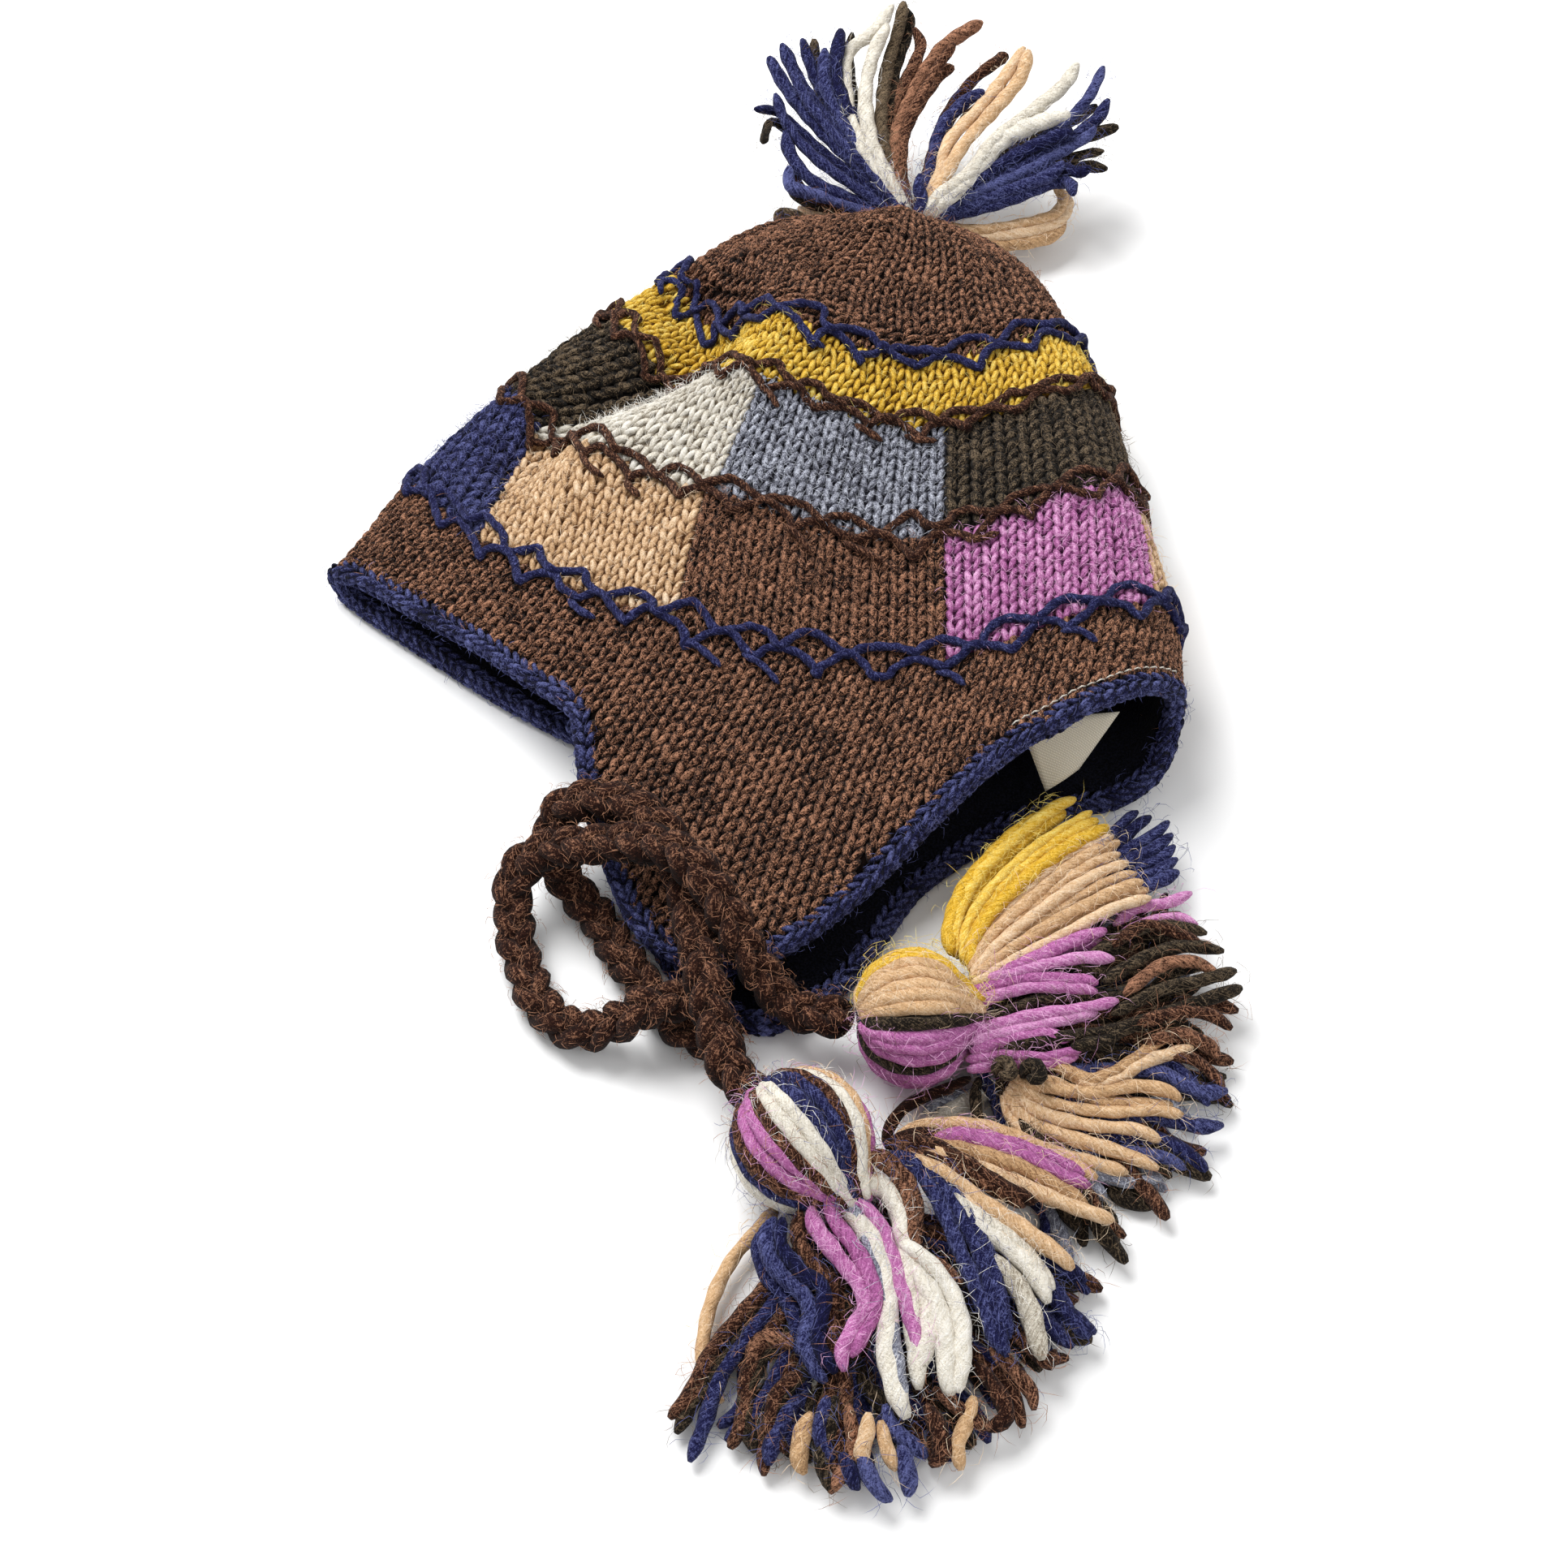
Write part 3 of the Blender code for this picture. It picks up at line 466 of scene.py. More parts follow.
FOLD_LINE = ((-0.238, 0.325), (-0.166, 0.142), (-0.220, 0.067), (-0.288, 0.017),
             (-0.324, -0.038), (-0.346, -0.108), (-0.368, -0.208))


def smooth_step(share):
    share = np.clip(share, 0.0, 1.0)
    return share * share * (3.0 - 2.0 * share)


def smooth_rows(where, stations, values):
    """Values between a table's rows, on a curve without overshoot through them."""
    stations, values = np.asarray(stations, float), np.asarray(values, float)
    where = np.clip(where, stations[0], stations[-1])
    step = np.diff(stations)
    slope = np.diff(values) / step
    tangent = np.zeros(len(stations))
    tangent[0], tangent[-1] = slope[0], slope[-1]
    for i in range(1, len(stations) - 1):
        if slope[i - 1] * slope[i] > 0:
            before, after = 2 * step[i] + step[i - 1], step[i] + 2 * step[i - 1]
            tangent[i] = (before + after) / (before / slope[i - 1] + after / slope[i])
    k = np.clip(np.searchsorted(stations, where) - 1, 0, len(stations) - 2)
    t = (where - stations[k]) / step[k]
    return ((1 + 2 * t) * (1 - t) ** 2 * values[k] + t * (1 - t) ** 2 * step[k] * tangent[k]
            + t * t * (3 - 2 * t) * values[k + 1] + t * t * (t - 1) * step[k] * tangent[k + 1])


def section_at(reach):
    return [float(smooth_rows(reach, SECTIONS[:, 0], SECTIONS[:, k])) for k in range(1, 12)]


EDGE_LEFT, EDGE_RIGHT = section_at(1.0)[:2]
SIDE_REACH = HAT_WIDTH / (math.sin(math.radians(EDGE_LEFT)) + math.sin(math.radians(EDGE_RIGHT)))
fold_points = resample([(a * HAT_WIDTH, b * CROWN_TO_RIM, 0.0) for a, b in FOLD_LINE], 0.0045)


def fold_rise(x, y):
    """The main fold: a valley with a soft bulge beside it, along the fold line."""
    here = np.stack([x, y], -1)
    gaps = here[:, None, :] - fold_points[None, :, :2]
    k = np.argmin((gaps ** 2).sum(-1), axis=1)
    ahead = unit(np.gradient(fold_points[:, :2], axis=0))[k]
    away = gaps[np.arange(len(x)), k]
    off = ahead[:, 0] * away[:, 1] - ahead[:, 1] * away[:, 0]
    share = k / (len(fold_points) - 1)
    fade = smooth_step(share / 0.12) * smooth_step((1 - share) / 0.25)
    fade = fade * np.exp(-(((ahead * away).sum(-1) / FOLD_WIDTH) ** 2))
    valley = FOLD_DEPTH * np.exp(-(((off + 0.4 * FOLD_WIDTH) / FOLD_WIDTH) ** 2))
    bulge = BULGE_HEIGHT * np.exp(-(((off - 1.15 * BULGE_WIDTH) / BULGE_WIDTH) ** 2))
    return (bulge - valley) * fade


def rounding(away, width):
    inward = np.clip(away / width, 0.0, 1.0)
    return np.sqrt(1.0 - (1.0 - inward) ** 2)


def knit_points(reach, around):
    """Points of the knit's outer face at one reach. around: -1 to 1 near side, 1 to 3 far side."""
    left, right, fold_left, fold_right, round_left, round_right, *heights = section_at(reach)
    around = (np.asarray(around, float) + 1) % 4 - 1
    near = around <= 1
    across = np.where(near, around, 2 - around)
    half = math.radians(left + right) / 2
    turn = math.radians(right - left) / 2 + half * across
    sideways = reach * SIDE_REACH
    x = sideways * np.sin(turn)
    y = APEX_FROM_MIDDLE - reach * CROWN_TO_RIM * np.cos(turn)
    from_left = sideways * np.sin(np.minimum(half * (1 + across), math.pi / 2))
    from_right = sideways * np.sin(np.minimum(half * (1 - across), math.pi / 2))
    fold = PUFF * (fold_left + (fold_right - fold_left) * smooth_step((across + 1) / 2))
    top = PUFF * smooth_rows(across, ACROSS, heights) + fold_rise(x, y)
    full = np.minimum(rounding(from_left, PUFF * round_left), rounding(from_right, PUFF * round_right))
    flat = np.minimum(rounding(from_left, 1.1 * fold), rounding(from_right, 1.1 * fold))
    z = np.where(near, fold + (top - fold) * full, fold * (1.0 - flat))
    return np.stack([x, y, z], -1)


def edge_reach(around):
    """Reach of the knit's edge, inside the crochet trim."""
    around = (np.asarray(around, float) + 1) % 4 - 1
    near = around <= 1
    across = np.where(near, around, 2 - around)
    reach = []
    for table in (NEAR_EDGE, FAR_EDGE):
        plain = smooth_rows(across, table[:, 0], table[:, 1])
        flap = smooth_rows(across, table[:, 0], table[:, 2])
        reach.append(plain + (flap * FLAP_LENGTH - TRIM_WIDTH - GAP) / CROWN_TO_RIM)
    return np.where(near, reach[0], reach[1])


AROUND = np.linspace(-1, 3, 641)
loops = {}


def loop_at(reach):
    """One closed row: its points and the length along them, kept for the next time."""
    key = round(float(reach), 5)
    if key not in loops:
        points = knit_points(key, AROUND)
        length = np.concatenate([[0.0], np.cumsum(np.linalg.norm(np.diff(points, axis=0), axis=1))])
        loops[key] = points, length
    return loops[key]


def length_at(reach, around):
    """Length along a row, from the left fold, at a place around."""
    turns = np.floor((np.asarray(around, float) + 1) / 4)
    points, length = loop_at(reach)
    return np.interp(np.asarray(around) - 4 * turns, AROUND, length) + turns * length[-1]


def around_at(reach, where):
    points, length = loop_at(reach)
    return np.interp(np.asarray(where) % length[-1], length, AROUND)


def on_row(reach, where):
    """Points of a row at lengths along it."""
    points, length = loop_at(reach)
    where = np.asarray(where) % length[-1]
    return np.stack([np.interp(where, length, points[:, k]) for k in range(3)], -1)


print("round the brim line:", round(loop_at(0.846)[1][-1] * 1000), "mm")

# %% [markdown]
# One leg of a stitch. In plain knitting each stitch shows as a V of two plump legs. A leg is
# modelled once, as a small ball that is pulled long, slimmed at both ends and bent down there, so
# that it seems to dive under the stitch above and come out of the one below. All the hat's legs
# are copies of it.

# %% The leg of a stitch
def in_fixed_order(points, corners, sizes, uvs):
    """The same shape with its points and faces sorted by place, because Blender's sphere comes
    with its faces in another order on each run, and the loose fibres pick faces by number."""
    order = np.lexsort(np.round(points, 3).T)
    rank = np.empty(len(order), int)
    rank[order] = np.arange(len(order))
    faces = []
    for start, size in zip(np.cumsum(sizes) - sizes, sizes):
        face = rank[corners[start:start + size]]
        first = int(np.argmin(face))
        faces.append((np.roll(face, -first).tolist(),
                      np.roll(uvs[start:start + size], -first, axis=0)))
    faces.sort(key=lambda face: face[0])
    return (np.round(points[order], 6), np.concatenate([face[0] for face in faces]),
            np.array([len(face[0]) for face in faces]),
            np.round(np.concatenate([face[1] for face in faces]), 6))


def model_leg(segments, rings, dip):
    """A leg along Y from -1 to 1, as points, face corners, face sizes, UV map and depth of painted shade.
    """
    bpy.ops.mesh.primitive_uv_sphere_add(segments=segments, ring_count=rings, radius=1.0)
    leg = bpy.context.object
    bpy.ops.object.mode_set(mode="EDIT")
    bpy.ops.mesh.select_all(action="SELECT")
    bpy.ops.transform.rotate(value=math.pi / 2, orient_axis="X", center_override=(0, 0, 0))
    bpy.ops.object.mode_set(mode="OBJECT")
    mesh = leg.data
    points, corners, sizes, uvs = in_fixed_order(
        np.array([v.co for v in mesh.vertices]),
        np.array([loop.vertex_index for loop in mesh.loops]),
        np.array([len(face.vertices) for face in mesh.polygons]),
        np.array([loop.uv for loop in mesh.uv_layers.active.data]))
    fuller = 1 + 0.30 * np.abs(points[:, 1]) ** 3
    points[:, 0] *= fuller
    # depth is painted shade: most on the leg's underside and at its ends, where it dives down.
    depth = 0.5 * (1 - points[:, 2]) + 0.8 * np.abs(points[:, 1]) ** 3
    points[:, 2] = points[:, 2] * fuller - dip * points[:, 1] ** 2
    bpy.data.objects.remove(leg, do_unlink=True)
    return points, corners, sizes, uvs, depth


FINE_LEG = model_leg(8, 6, 0.60)
PLAIN_LEG = model_leg(5, 4, 0.60)
# Painted shade: how much darker a leg is painted on its underside and where it dives down.
DIVE_SHADE = 4.2  # how much darker a leg gets where it dives down
print("a fine leg has", int((FINE_LEG[2] - 2).sum()), "triangles, a plain one",
      int((PLAIN_LEG[2] - 2).sum()))


def copy_legs(leg, middle, wide, long, tall, tone):
    """Copies of a leg. wide, long and tall are its half sizes, as vectors."""
    points, corners, sizes, uvs, depth = leg
    placed = (middle[:, None, :] + points[None, :, 0, None] * wide[:, None, :]
              + points[None, :, 1, None] * long[:, None, :]
              + points[None, :, 2, None] * tall[:, None, :])
    count = len(middle)
    base = (np.arange(count) * len(points))[:, None]
    return (placed.reshape(-1, 3), (corners[None, :] + base).ravel(), np.tile(sizes, count),
            np.tile(uvs, (count, 1)), (tone[:, None] - DIVE_SHADE * depth[None, :]).ravel())


# %% [markdown]
# Rows and columns. The hat is worked in five bands, each hidden behind a stitched line where it
# meets the next: the brim with the earflaps, a band of lower patches, one of upper patches, the
# yellow band and the crown. Within a band each patch holds a whole number of columns that run from
# its lower to its upper border. The crown narrows in eight wedges: columns run straight up from the
# middle of each, and end where they meet the next wedge.

# %% Stitches in rows and columns
ROW = 0.0042
COLUMN = 0.0054
BRIM_LINE, PATCH_LINE, BAND_LINE, CROWN_LINE = 0.846, 0.650, 0.467, 0.358
# Each patch: colour, place around where it starts at the band's lower and upper line, columns.
LOWER_PATCHES = (("navy", -1.42, -1.42, 12), ("tan", -0.69, -0.81, 14), ("brown", -0.14, -0.185, 14),
                 ("orchid", 0.465, 0.450, 12), ("tan", 0.93, 0.975, 13), ("grey", 1.42, 1.46, 13),
                 ("olive", 1.98, 1.98, 12))
UPPER_PATCHES = (("olive", -1.45, -1.50, 13), ("cream", -0.82, -0.50, 13), ("grey", -0.16, -0.172, 13),
                 ("olive", 0.450, 0.415, 13), ("tan", 1.12, 1.12, 12), ("navy", 1.60, 1.60, 12),
                 ("orchid", 2.10, 2.06, 11))
WEDGES = 8
FOOT, TOP = 0.86, 0.74  # ends of a leg below and above the stitch's middle, as shares of a row
LEG_WIDTH = 0.218  # half width of a leg, as a share of a column
LEG_HEIGHT, LEG_SINK = 0.00135, 0.0011


def faces_us(around):
    """Which places round a row need fine stitches: the near side and both side folds."""
    return (around > -1.0) & (around < 1.12) | (around > 2.85)


def patch_columns(reach, low, high, patches):
    """Lengths along a row of every column's middle, and the index of its patch."""
    share = (low - reach) / (low - high)
    starts = np.array([a + (b - a) * share for _, a, b, _ in patches])
    bounds = np.append(starts, starts[0] + 4)
    lengths = length_at(reach, bounds)
    middles, owners, widths = [], [], []
    for k, patch in enumerate(patches):
        cells = np.linspace(lengths[k], lengths[k + 1], patch[3] + 1)
        middles.append((cells[1:] + cells[:-1]) / 2)
        owners.append(np.full(patch[3], k))
        widths.append(np.diff(cells))
    return np.concatenate(middles), np.concatenate(owners), np.concatenate(widths)


def even_columns(reach, count, low, lean):
    """Columns that share a row evenly, and lean to the right going up by lean degrees."""
    length = loop_at(reach)[1][-1]
    shift = (low - reach) * CROWN_TO_RIM * math.tan(math.radians(lean))
    where = (np.arange(count) + 0.5) * length / count + shift
    return where, np.zeros(count, int), np.full(count, length / count)


def lay_stitches(middle, down, aside, out, width, height, fine):
    """Two legs for every stitch, a V that points down."""
    count = len(middle)
    sway = rng.normal(0, 0.07, (count, 2))
    swell = 1 + rng.normal(0, 0.07, (count, 2))
    tone = rng.normal(0.5, 0.5, count)
    bags = []
    for k, hand in enumerate((-1.0, 1.0)):
        foot = middle + down * (FOOT * height)[:, None] + aside * (hand * 0.05 * width)[:, None]
        top = (middle - down * (TOP * height)[:, None]
               + aside * ((hand * (0.43 + sway[:, k] * 0.4)) * width)[:, None])
        long = (top - foot) / 2
        wide = unit(np.cross(long, out)) * (LEG_WIDTH * width * swell[:, k])[:, None]
        tall = out * (LEG_HEIGHT * swell[:, k])[:, None]
        raised = (top + foot) / 2 - out * LEG_SINK
        bags.append(copy_legs(FINE_LEG if fine else PLAIN_LEG, raised, wide, long, tall, tone))
    return join(bags)


def knit_band(name, low, high, columns, colours):
    """All the stitches of one band, as a piece for every colour and side."""
    rows = max(int(round((low - high) * CROWN_TO_RIM / ROW)), 1)
    step = (low - high) / rows
    places = [columns(low - step * (k - 0.5)) for k in range(rows + 2)]
    reaches = [low - step * (k - 0.5) for k in range(rows + 2)]
    points = [on_row(reach, where) for reach, (where, _, _) in zip(reaches, places)]
    bags = {}
    for k in range(1, rows + 1):
        where, owner, width = places[k]
        down = unit(points[k - 1] - points[k + 1])
        ahead = on_row(reaches[k], where + 0.0008) - on_row(reaches[k], where - 0.0008)
        out = unit(np.cross(ahead, -down))
        aside = unit(np.cross(down, out)) * -1
        around = around_at(reaches[k], where)
        inside = reaches[k] - 0.25 * step < edge_reach(around)
        near = faces_us(around)
        height = np.linalg.norm(points[k - 1] - points[k + 1], axis=1) / 2
        for patch in np.unique(owner):
            for fine in (True, False):
                pick = inside & (owner == patch) & (near == fine)
                if pick.any():
                    bags.setdefault((colours[patch], fine), []).append(lay_stitches(
                        points[k][pick], down[pick], aside[pick], out[pick], width[pick],
                        height[pick], fine))
    for (colour, fine), bag in bags.items():
        side = "near" if fine else "far"
        write_piece("knit_%s_%s_%s" % (name, colour, side), bag, WOOL[colour])


def crown_columns(reach):
    """Columns of the crown: straight up the middle of each wedge, cut off at its sides."""
    length = loop_at(reach)[1][-1]
    half = length / WEDGES / 2
    count = max(int(round(half / COLUMN)), 1)
    offsets = (np.arange(-count, count) + 0.5) * half / count
    middles = (np.arange(WEDGES)[:, None] + 0.5) * 2 * half + offsets[None, :]
    return middles.ravel(), offsets


def knit_crown():
    """The crown's rows, closer to the tip with ever fewer columns."""
    rows = int(CROWN_LINE * CROWN_TO_RIM / ROW)
    step = CROWN_LINE / rows
    bags = {True: [], False: []}
    for k in range(rows):
        reach = CROWN_LINE - step * (k + 0.5)
        where, offsets = crown_columns(reach)
        centres = (np.repeat(np.arange(WEDGES), len(offsets)) + 0.5) / WEDGES
        lateral = np.tile(offsets, WEDGES)

        def beside(other):
            length = loop_at(other)[1][-1]
            return on_row(other, centres * length + lateral)

        middle = on_row(reach, where)
        down = unit(beside(reach + step / 2) - beside(max(reach - step / 2, 0.004)))
        ahead = on_row(reach, where + 0.0006) - on_row(reach, where - 0.0006)
        out = unit(np.cross(ahead, -down))
        aside = unit(np.cross(down, out)) * -1
        around = around_at(reach, where)
        near = faces_us(around)
        width = np.full(len(middle), loop_at(reach)[1][-1] / len(middle))
        height = np.full(len(middle), step * CROWN_TO_RIM)
        for fine in (True, False):
            pick = near == fine
            if pick.any():
                bags[fine].append(lay_stitches(middle[pick], down[pick], aside[pick], out[pick],
                                               width[pick], height[pick], fine))
    write_piece("knit_crown_near", bags[True], WOOL["brown"])
    write_piece("knit_crown_far", bags[False], WOOL["brown"])


FLAP_TIP_REACH = 1.30
knit_band("brim", FLAP_TIP_REACH, BRIM_LINE,
          lambda reach: even_columns(reach, 104, BRIM_LINE, 13.0), ["brown"])
knit_band("lower", BRIM_LINE, PATCH_LINE,
          lambda reach: patch_columns(reach, BRIM_LINE, PATCH_LINE, LOWER_PATCHES),
          [patch[0] for patch in LOWER_PATCHES])
knit_band("upper", PATCH_LINE, BAND_LINE,
          lambda reach: patch_columns(reach, PATCH_LINE, BAND_LINE, UPPER_PATCHES),
          [patch[0] for patch in UPPER_PATCHES])
knit_band("band", BAND_LINE, CROWN_LINE,
          lambda reach: even_columns(reach, 84, BAND_LINE, 14.0), ["yellow"])
knit_crown()

# %% [markdown]
# Between the legs of knitting one sees the fabric deeper down, in shade. A thin wall just under the
# stitches stands for it, and closes the hat from inside. It is the hat's own surface, moved in
# along its normals and given a thickness. Each face is painted in shade: the dark shade of the yarn
# above it, darker still.

# %% The fabric under the stitches
SHEET_COLUMNS, SHEET_ROWS, FLAP_ROWS = 216, 36, 9


def band_colours(reach, around):
    """Colour of the yarn at each place round one row."""
    for low, high, patches in ((BRIM_LINE, PATCH_LINE, LOWER_PATCHES),
                               (PATCH_LINE, BAND_LINE, UPPER_PATCHES)):
        if high < reach <= low:
            share = (low - reach) / (low - high)
            starts = np.array([a + (b - a) * share for _, a, b, _ in patches])
            place = (around - starts[0]) % 4 + starts[0]
            return [patches[k][0] for k in np.searchsorted(starts, place, side="right") - 1]
    return ["yellow" if CROWN_LINE < reach <= BAND_LINE else "brown"] * len(around)


def hat_sheet(name, depth):
    """The hat's surface as an open sheet, moved in by a depth. Also gives the yarn of each face."""
    around = np.linspace(-1, 3, SHEET_COLUMNS + 1)[:-1]
    reaches = list(np.linspace(0.02, 1.0, SHEET_ROWS) * BRIM_LINE)
    rows = [knit_points(reach, around) for reach in reaches]
    edge = edge_reach(around)
    for k in range(1, FLAP_ROWS + 1):
        past = BRIM_LINE + (edge - BRIM_LINE) * k / FLAP_ROWS
        rows.append(np.array([knit_points(r, [a])[0] for r, a in zip(past, around)]))
        reaches.append(BRIM_LINE + 0.001 * k)  # read for its colour alone
    tip = knit_points(0.0, [0.0])
    points = np.vstack([tip, *rows])
    turn = np.arange(SHEET_COLUMNS)
    after = (turn + 1) % SHEET_COLUMNS
    faces = [(0, 1 + k, 1 + n) for k, n in zip(turn, after)]
    yarns = ["brown"] * len(faces)
    for j in range(len(rows) - 1):
        upper, lower = 1 + j * SHEET_COLUMNS, 1 + (j + 1) * SHEET_COLUMNS
        faces += [(upper + k, lower + k, lower + n, upper + n) for k, n in zip(turn, after)]
        yarns += band_colours((reaches[j] + reaches[j + 1]) / 2, around + 2 / SHEET_COLUMNS)
    mesh = bpy.data.meshes.new(name)
    mesh.from_pydata(points.tolist(), [], faces)
    moved = [v.co - v.normal * depth for v in mesh.vertices]
    mesh.vertices.foreach_set("co", np.array(moved, np.float32).ravel())
    mesh.shade_smooth()
    sheet = bpy.data.objects.new(name, mesh)
    bpy.context.scene.collection.objects.link(sheet)
    bpy.ops.object.select_all(action="DESELECT")
    sheet.select_set(True)
    bpy.context.view_layer.objects.active = sheet
    return sheet, yarns


def thicken(sheet, thickness):
    wall = sheet.modifiers.new("wall", "SOLIDIFY")
    wall.thickness = thickness
    wall.offset = -1.0
    bpy.ops.object.modifier_apply(modifier="wall")


def ground_material(name):
    """Painted shade: a yarn's dark shade made darker still, slightly mottled."""
    dark, middle, _ = [linear(shade) for shade in SHADES[name]]
    material = bpy.data.materials.new(name + "_ground")
    material.use_nodes = True
    nodes, links = material.node_tree.nodes, material.node_tree.links
    noise = nodes.new("ShaderNodeTexNoise")
    noise.inputs["Scale"].default_value = 900.0
    where = nodes.new("ShaderNodeTexCoord")
    links.new(where.outputs["Object"], noise.inputs["Vector"])
    ramp = nodes.new("ShaderNodeValToRGB")
    ramp.color_ramp.elements[0].position = 0.35
    ramp.color_ramp.elements[0].color = tuple(c * 0.5 for c in dark[:3]) + (1.0,)
    ramp.color_ramp.elements[1].position = 0.75
    ramp.color_ramp.elements[1].color = tuple((5 * a + b) / 6 for a, b in zip(dark[:3], middle)) + (1.0,)
    links.new(noise.outputs["Fac"], ramp.inputs["Fac"])
    shader = nodes["Principled BSDF"]
    links.new(ramp.outputs["Color"], shader.inputs["Base Color"])
    shader.inputs["Roughness"].default_value = 0.95
    shader.inputs["Specular IOR Level"].default_value = 0.1
    return material


ground, yarns = hat_sheet("knit_ground", 0.0015)
# Each yarn gets a ground in painted shade.
for name in SHADES:
    ground.data.materials.append(ground_material(name))
order = list(SHADES)
ground.data.polygons.foreach_set("material_index", np.array([order.index(y) for y in yarns], np.int32))
thicken(ground, 0.0018)
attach(ground, "root")
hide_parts("knit_shell")
print("the fabric under the stitches has", len(ground.data.polygons), "faces")

# %% [markdown]
# Where two bands meet they are stitched over with a single yarn, in an open zigzag. Two threads
# cross again and again and leave small eyes between them, through which the knitting shows. Each
# thread is drawn on the hat's surface, in lengths along a row and heights above it, with a little
# unevenness as from the hand.

# %% Stitched lines
def surface_frame(reach, where):
    """Outward directions of the surface at places on a row."""
    ahead = on_row(reach, where + 0.001) - on_row(reach, where - 0.001)
    middle = on_row(reach, where)
    up = knit_points(reach - 0.006, around_at(reach, where)) - middle
    return unit(np.cross(ahead, up))


def on_hat(reach, where, lift):
    """Points at a reach and length each, lifted off the surface."""
    points = []
    for r, w, h in zip(reach, where, lift):
        w = np.array([w])
        points.append((on_row(r, w) + surface_frame(r, w) * h)[0])
    return np.array(points)


TAILS = 7  # loose thread ends along each line


def stitch_line(name, reach, colour, unit_length, rise, seed):
    """Two crossing threads along a row, and the short ends left by the needle."""
    dice = np.random.default_rng(seed)
    total = loop_at(reach)[1][-1]
    count = int(round(total / unit_length))
    span = total / count
    upper = ((0.0, 0.10), (0.24, 0.80), (0.48, 1.00), (0.74, 0.60))
    lower = ((0.0, -0.02), (0.30, -0.38), (0.54, -1.05), (0.59, -1.10), (0.78, -0.36))
    sizes = dice.uniform(0.65, 1.15, count)  # some eyes are pulled nearly flat
    bags = []
    for knots, side in ((upper, 1.0), (lower, -1.0)):
        along, height, lift = [], [], []
        for k in range(count):
            for share, level in knots:
                along.append((k + share + dice.normal(0, 0.045)) * span)
                height.append(rise * (level * sizes[k] + dice.normal(0, 0.13)))
                crossing = share == 0.0
                lift.append(0.0011 + (0.0014 if crossing and (k % 2 == 0) == (side > 0) else 0.0))
        along.append(along[0] + total)
        height.append(height[0])
        lift.append(lift[0])
        here = np.array(along)
        rows = reach - np.array(height) / CROWN_TO_RIM
        rows = np.round(rows, 3)
        scale = np.array([loop_at(r)[1][-1] / total for r in rows])
        route = on_hat(rows, here * scale, lift)
        route[:, 2] = np.maximum(route[:, 2], 0.0014)
        bags += yarn(route, 0.00135, pitch=0.0110, lobe=0.10, step=0.0010, tone=-0.3)
    for k in dice.choice(count, TAILS, replace=False):
        start, tip = (k + 0.5) * span, (k + 0.5 + dice.uniform(0.45, 0.8)) * span
        rows = reach + rise / CROWN_TO_RIM * np.array((0.9, 1.3, dice.uniform(1.2, 2.2)))
        here = np.array((start, (start + tip) / 2, tip)) * loop_at(reach)[1][-1] / total
        route = on_hat(np.round(rows, 3), here, (0.0008, 0.0016, 0.0011))
        route[:, 2] = np.maximum(route[:, 2], 0.0014)
        bags += yarn(route, 0.00115, pitch=0.0110, lobe=0.10, step=0.0010, phase=k)
    return write_piece(name, bags, LOOSE[colour])


stitch_line("brim_stitching", BRIM_LINE, "navy", 0.0200, 0.0064, 3)
stitch_line("patch_stitching", PATCH_LINE, "brown", 0.0195, 0.0060, 5)
stitch_line("band_stitching", BAND_LINE, "brown", 0.0165, 0.0052, 8)
stitch_line("crown_stitching", CROWN_LINE, "navy", 0.0190, 0.0056, 13)

# %% [markdown]
# The edge is crocheted in navy wool all round the opening. On top lies a chain of small Vs that
# follow the edge, and on both faces short slanting legs grip the knitting. Just above it runs the
# pale machine thread that holds the lining.

# %% Crochet edge
EDGE_PITCH = 0.0039  # from one crocheted V to the next
EDGE_CORE = 0.0021  # radius of the plain cord under the Vs


def edge_path(count):
    """Points along the middle of the edge bead, with its outward and upward directions."""
    around = np.linspace(-1, 3, count + 1)[:-1]
    reach = edge_reach(around)
    at = np.array([knit_points(r, [a])[0] for r, a in zip(reach, around)])
    inner = np.array([knit_points(r - 0.02, [a])[0] for r, a in zip(reach, around)])
    ahead = unit(np.roll(at, -1, 0) - np.roll(at, 1, 0))
    away = at - inner
    away = unit(away - ahead * (away * ahead).sum(-1, keepdims=True))
    over = np.cross(ahead, away)
    flip = np.where(over[:, 2] * np.where(around <= 1, 1, -1) < 0, -1.0, 1.0)[:, None]
    over = over * flip
    point = at - over * (WALLS / 2) + away * (TRIM_WIDTH / 2 + GAP)
    point[:, 2] = np.maximum(point[:, 2], TRIM_WIDTH / 2)
    return point, ahead, away, over


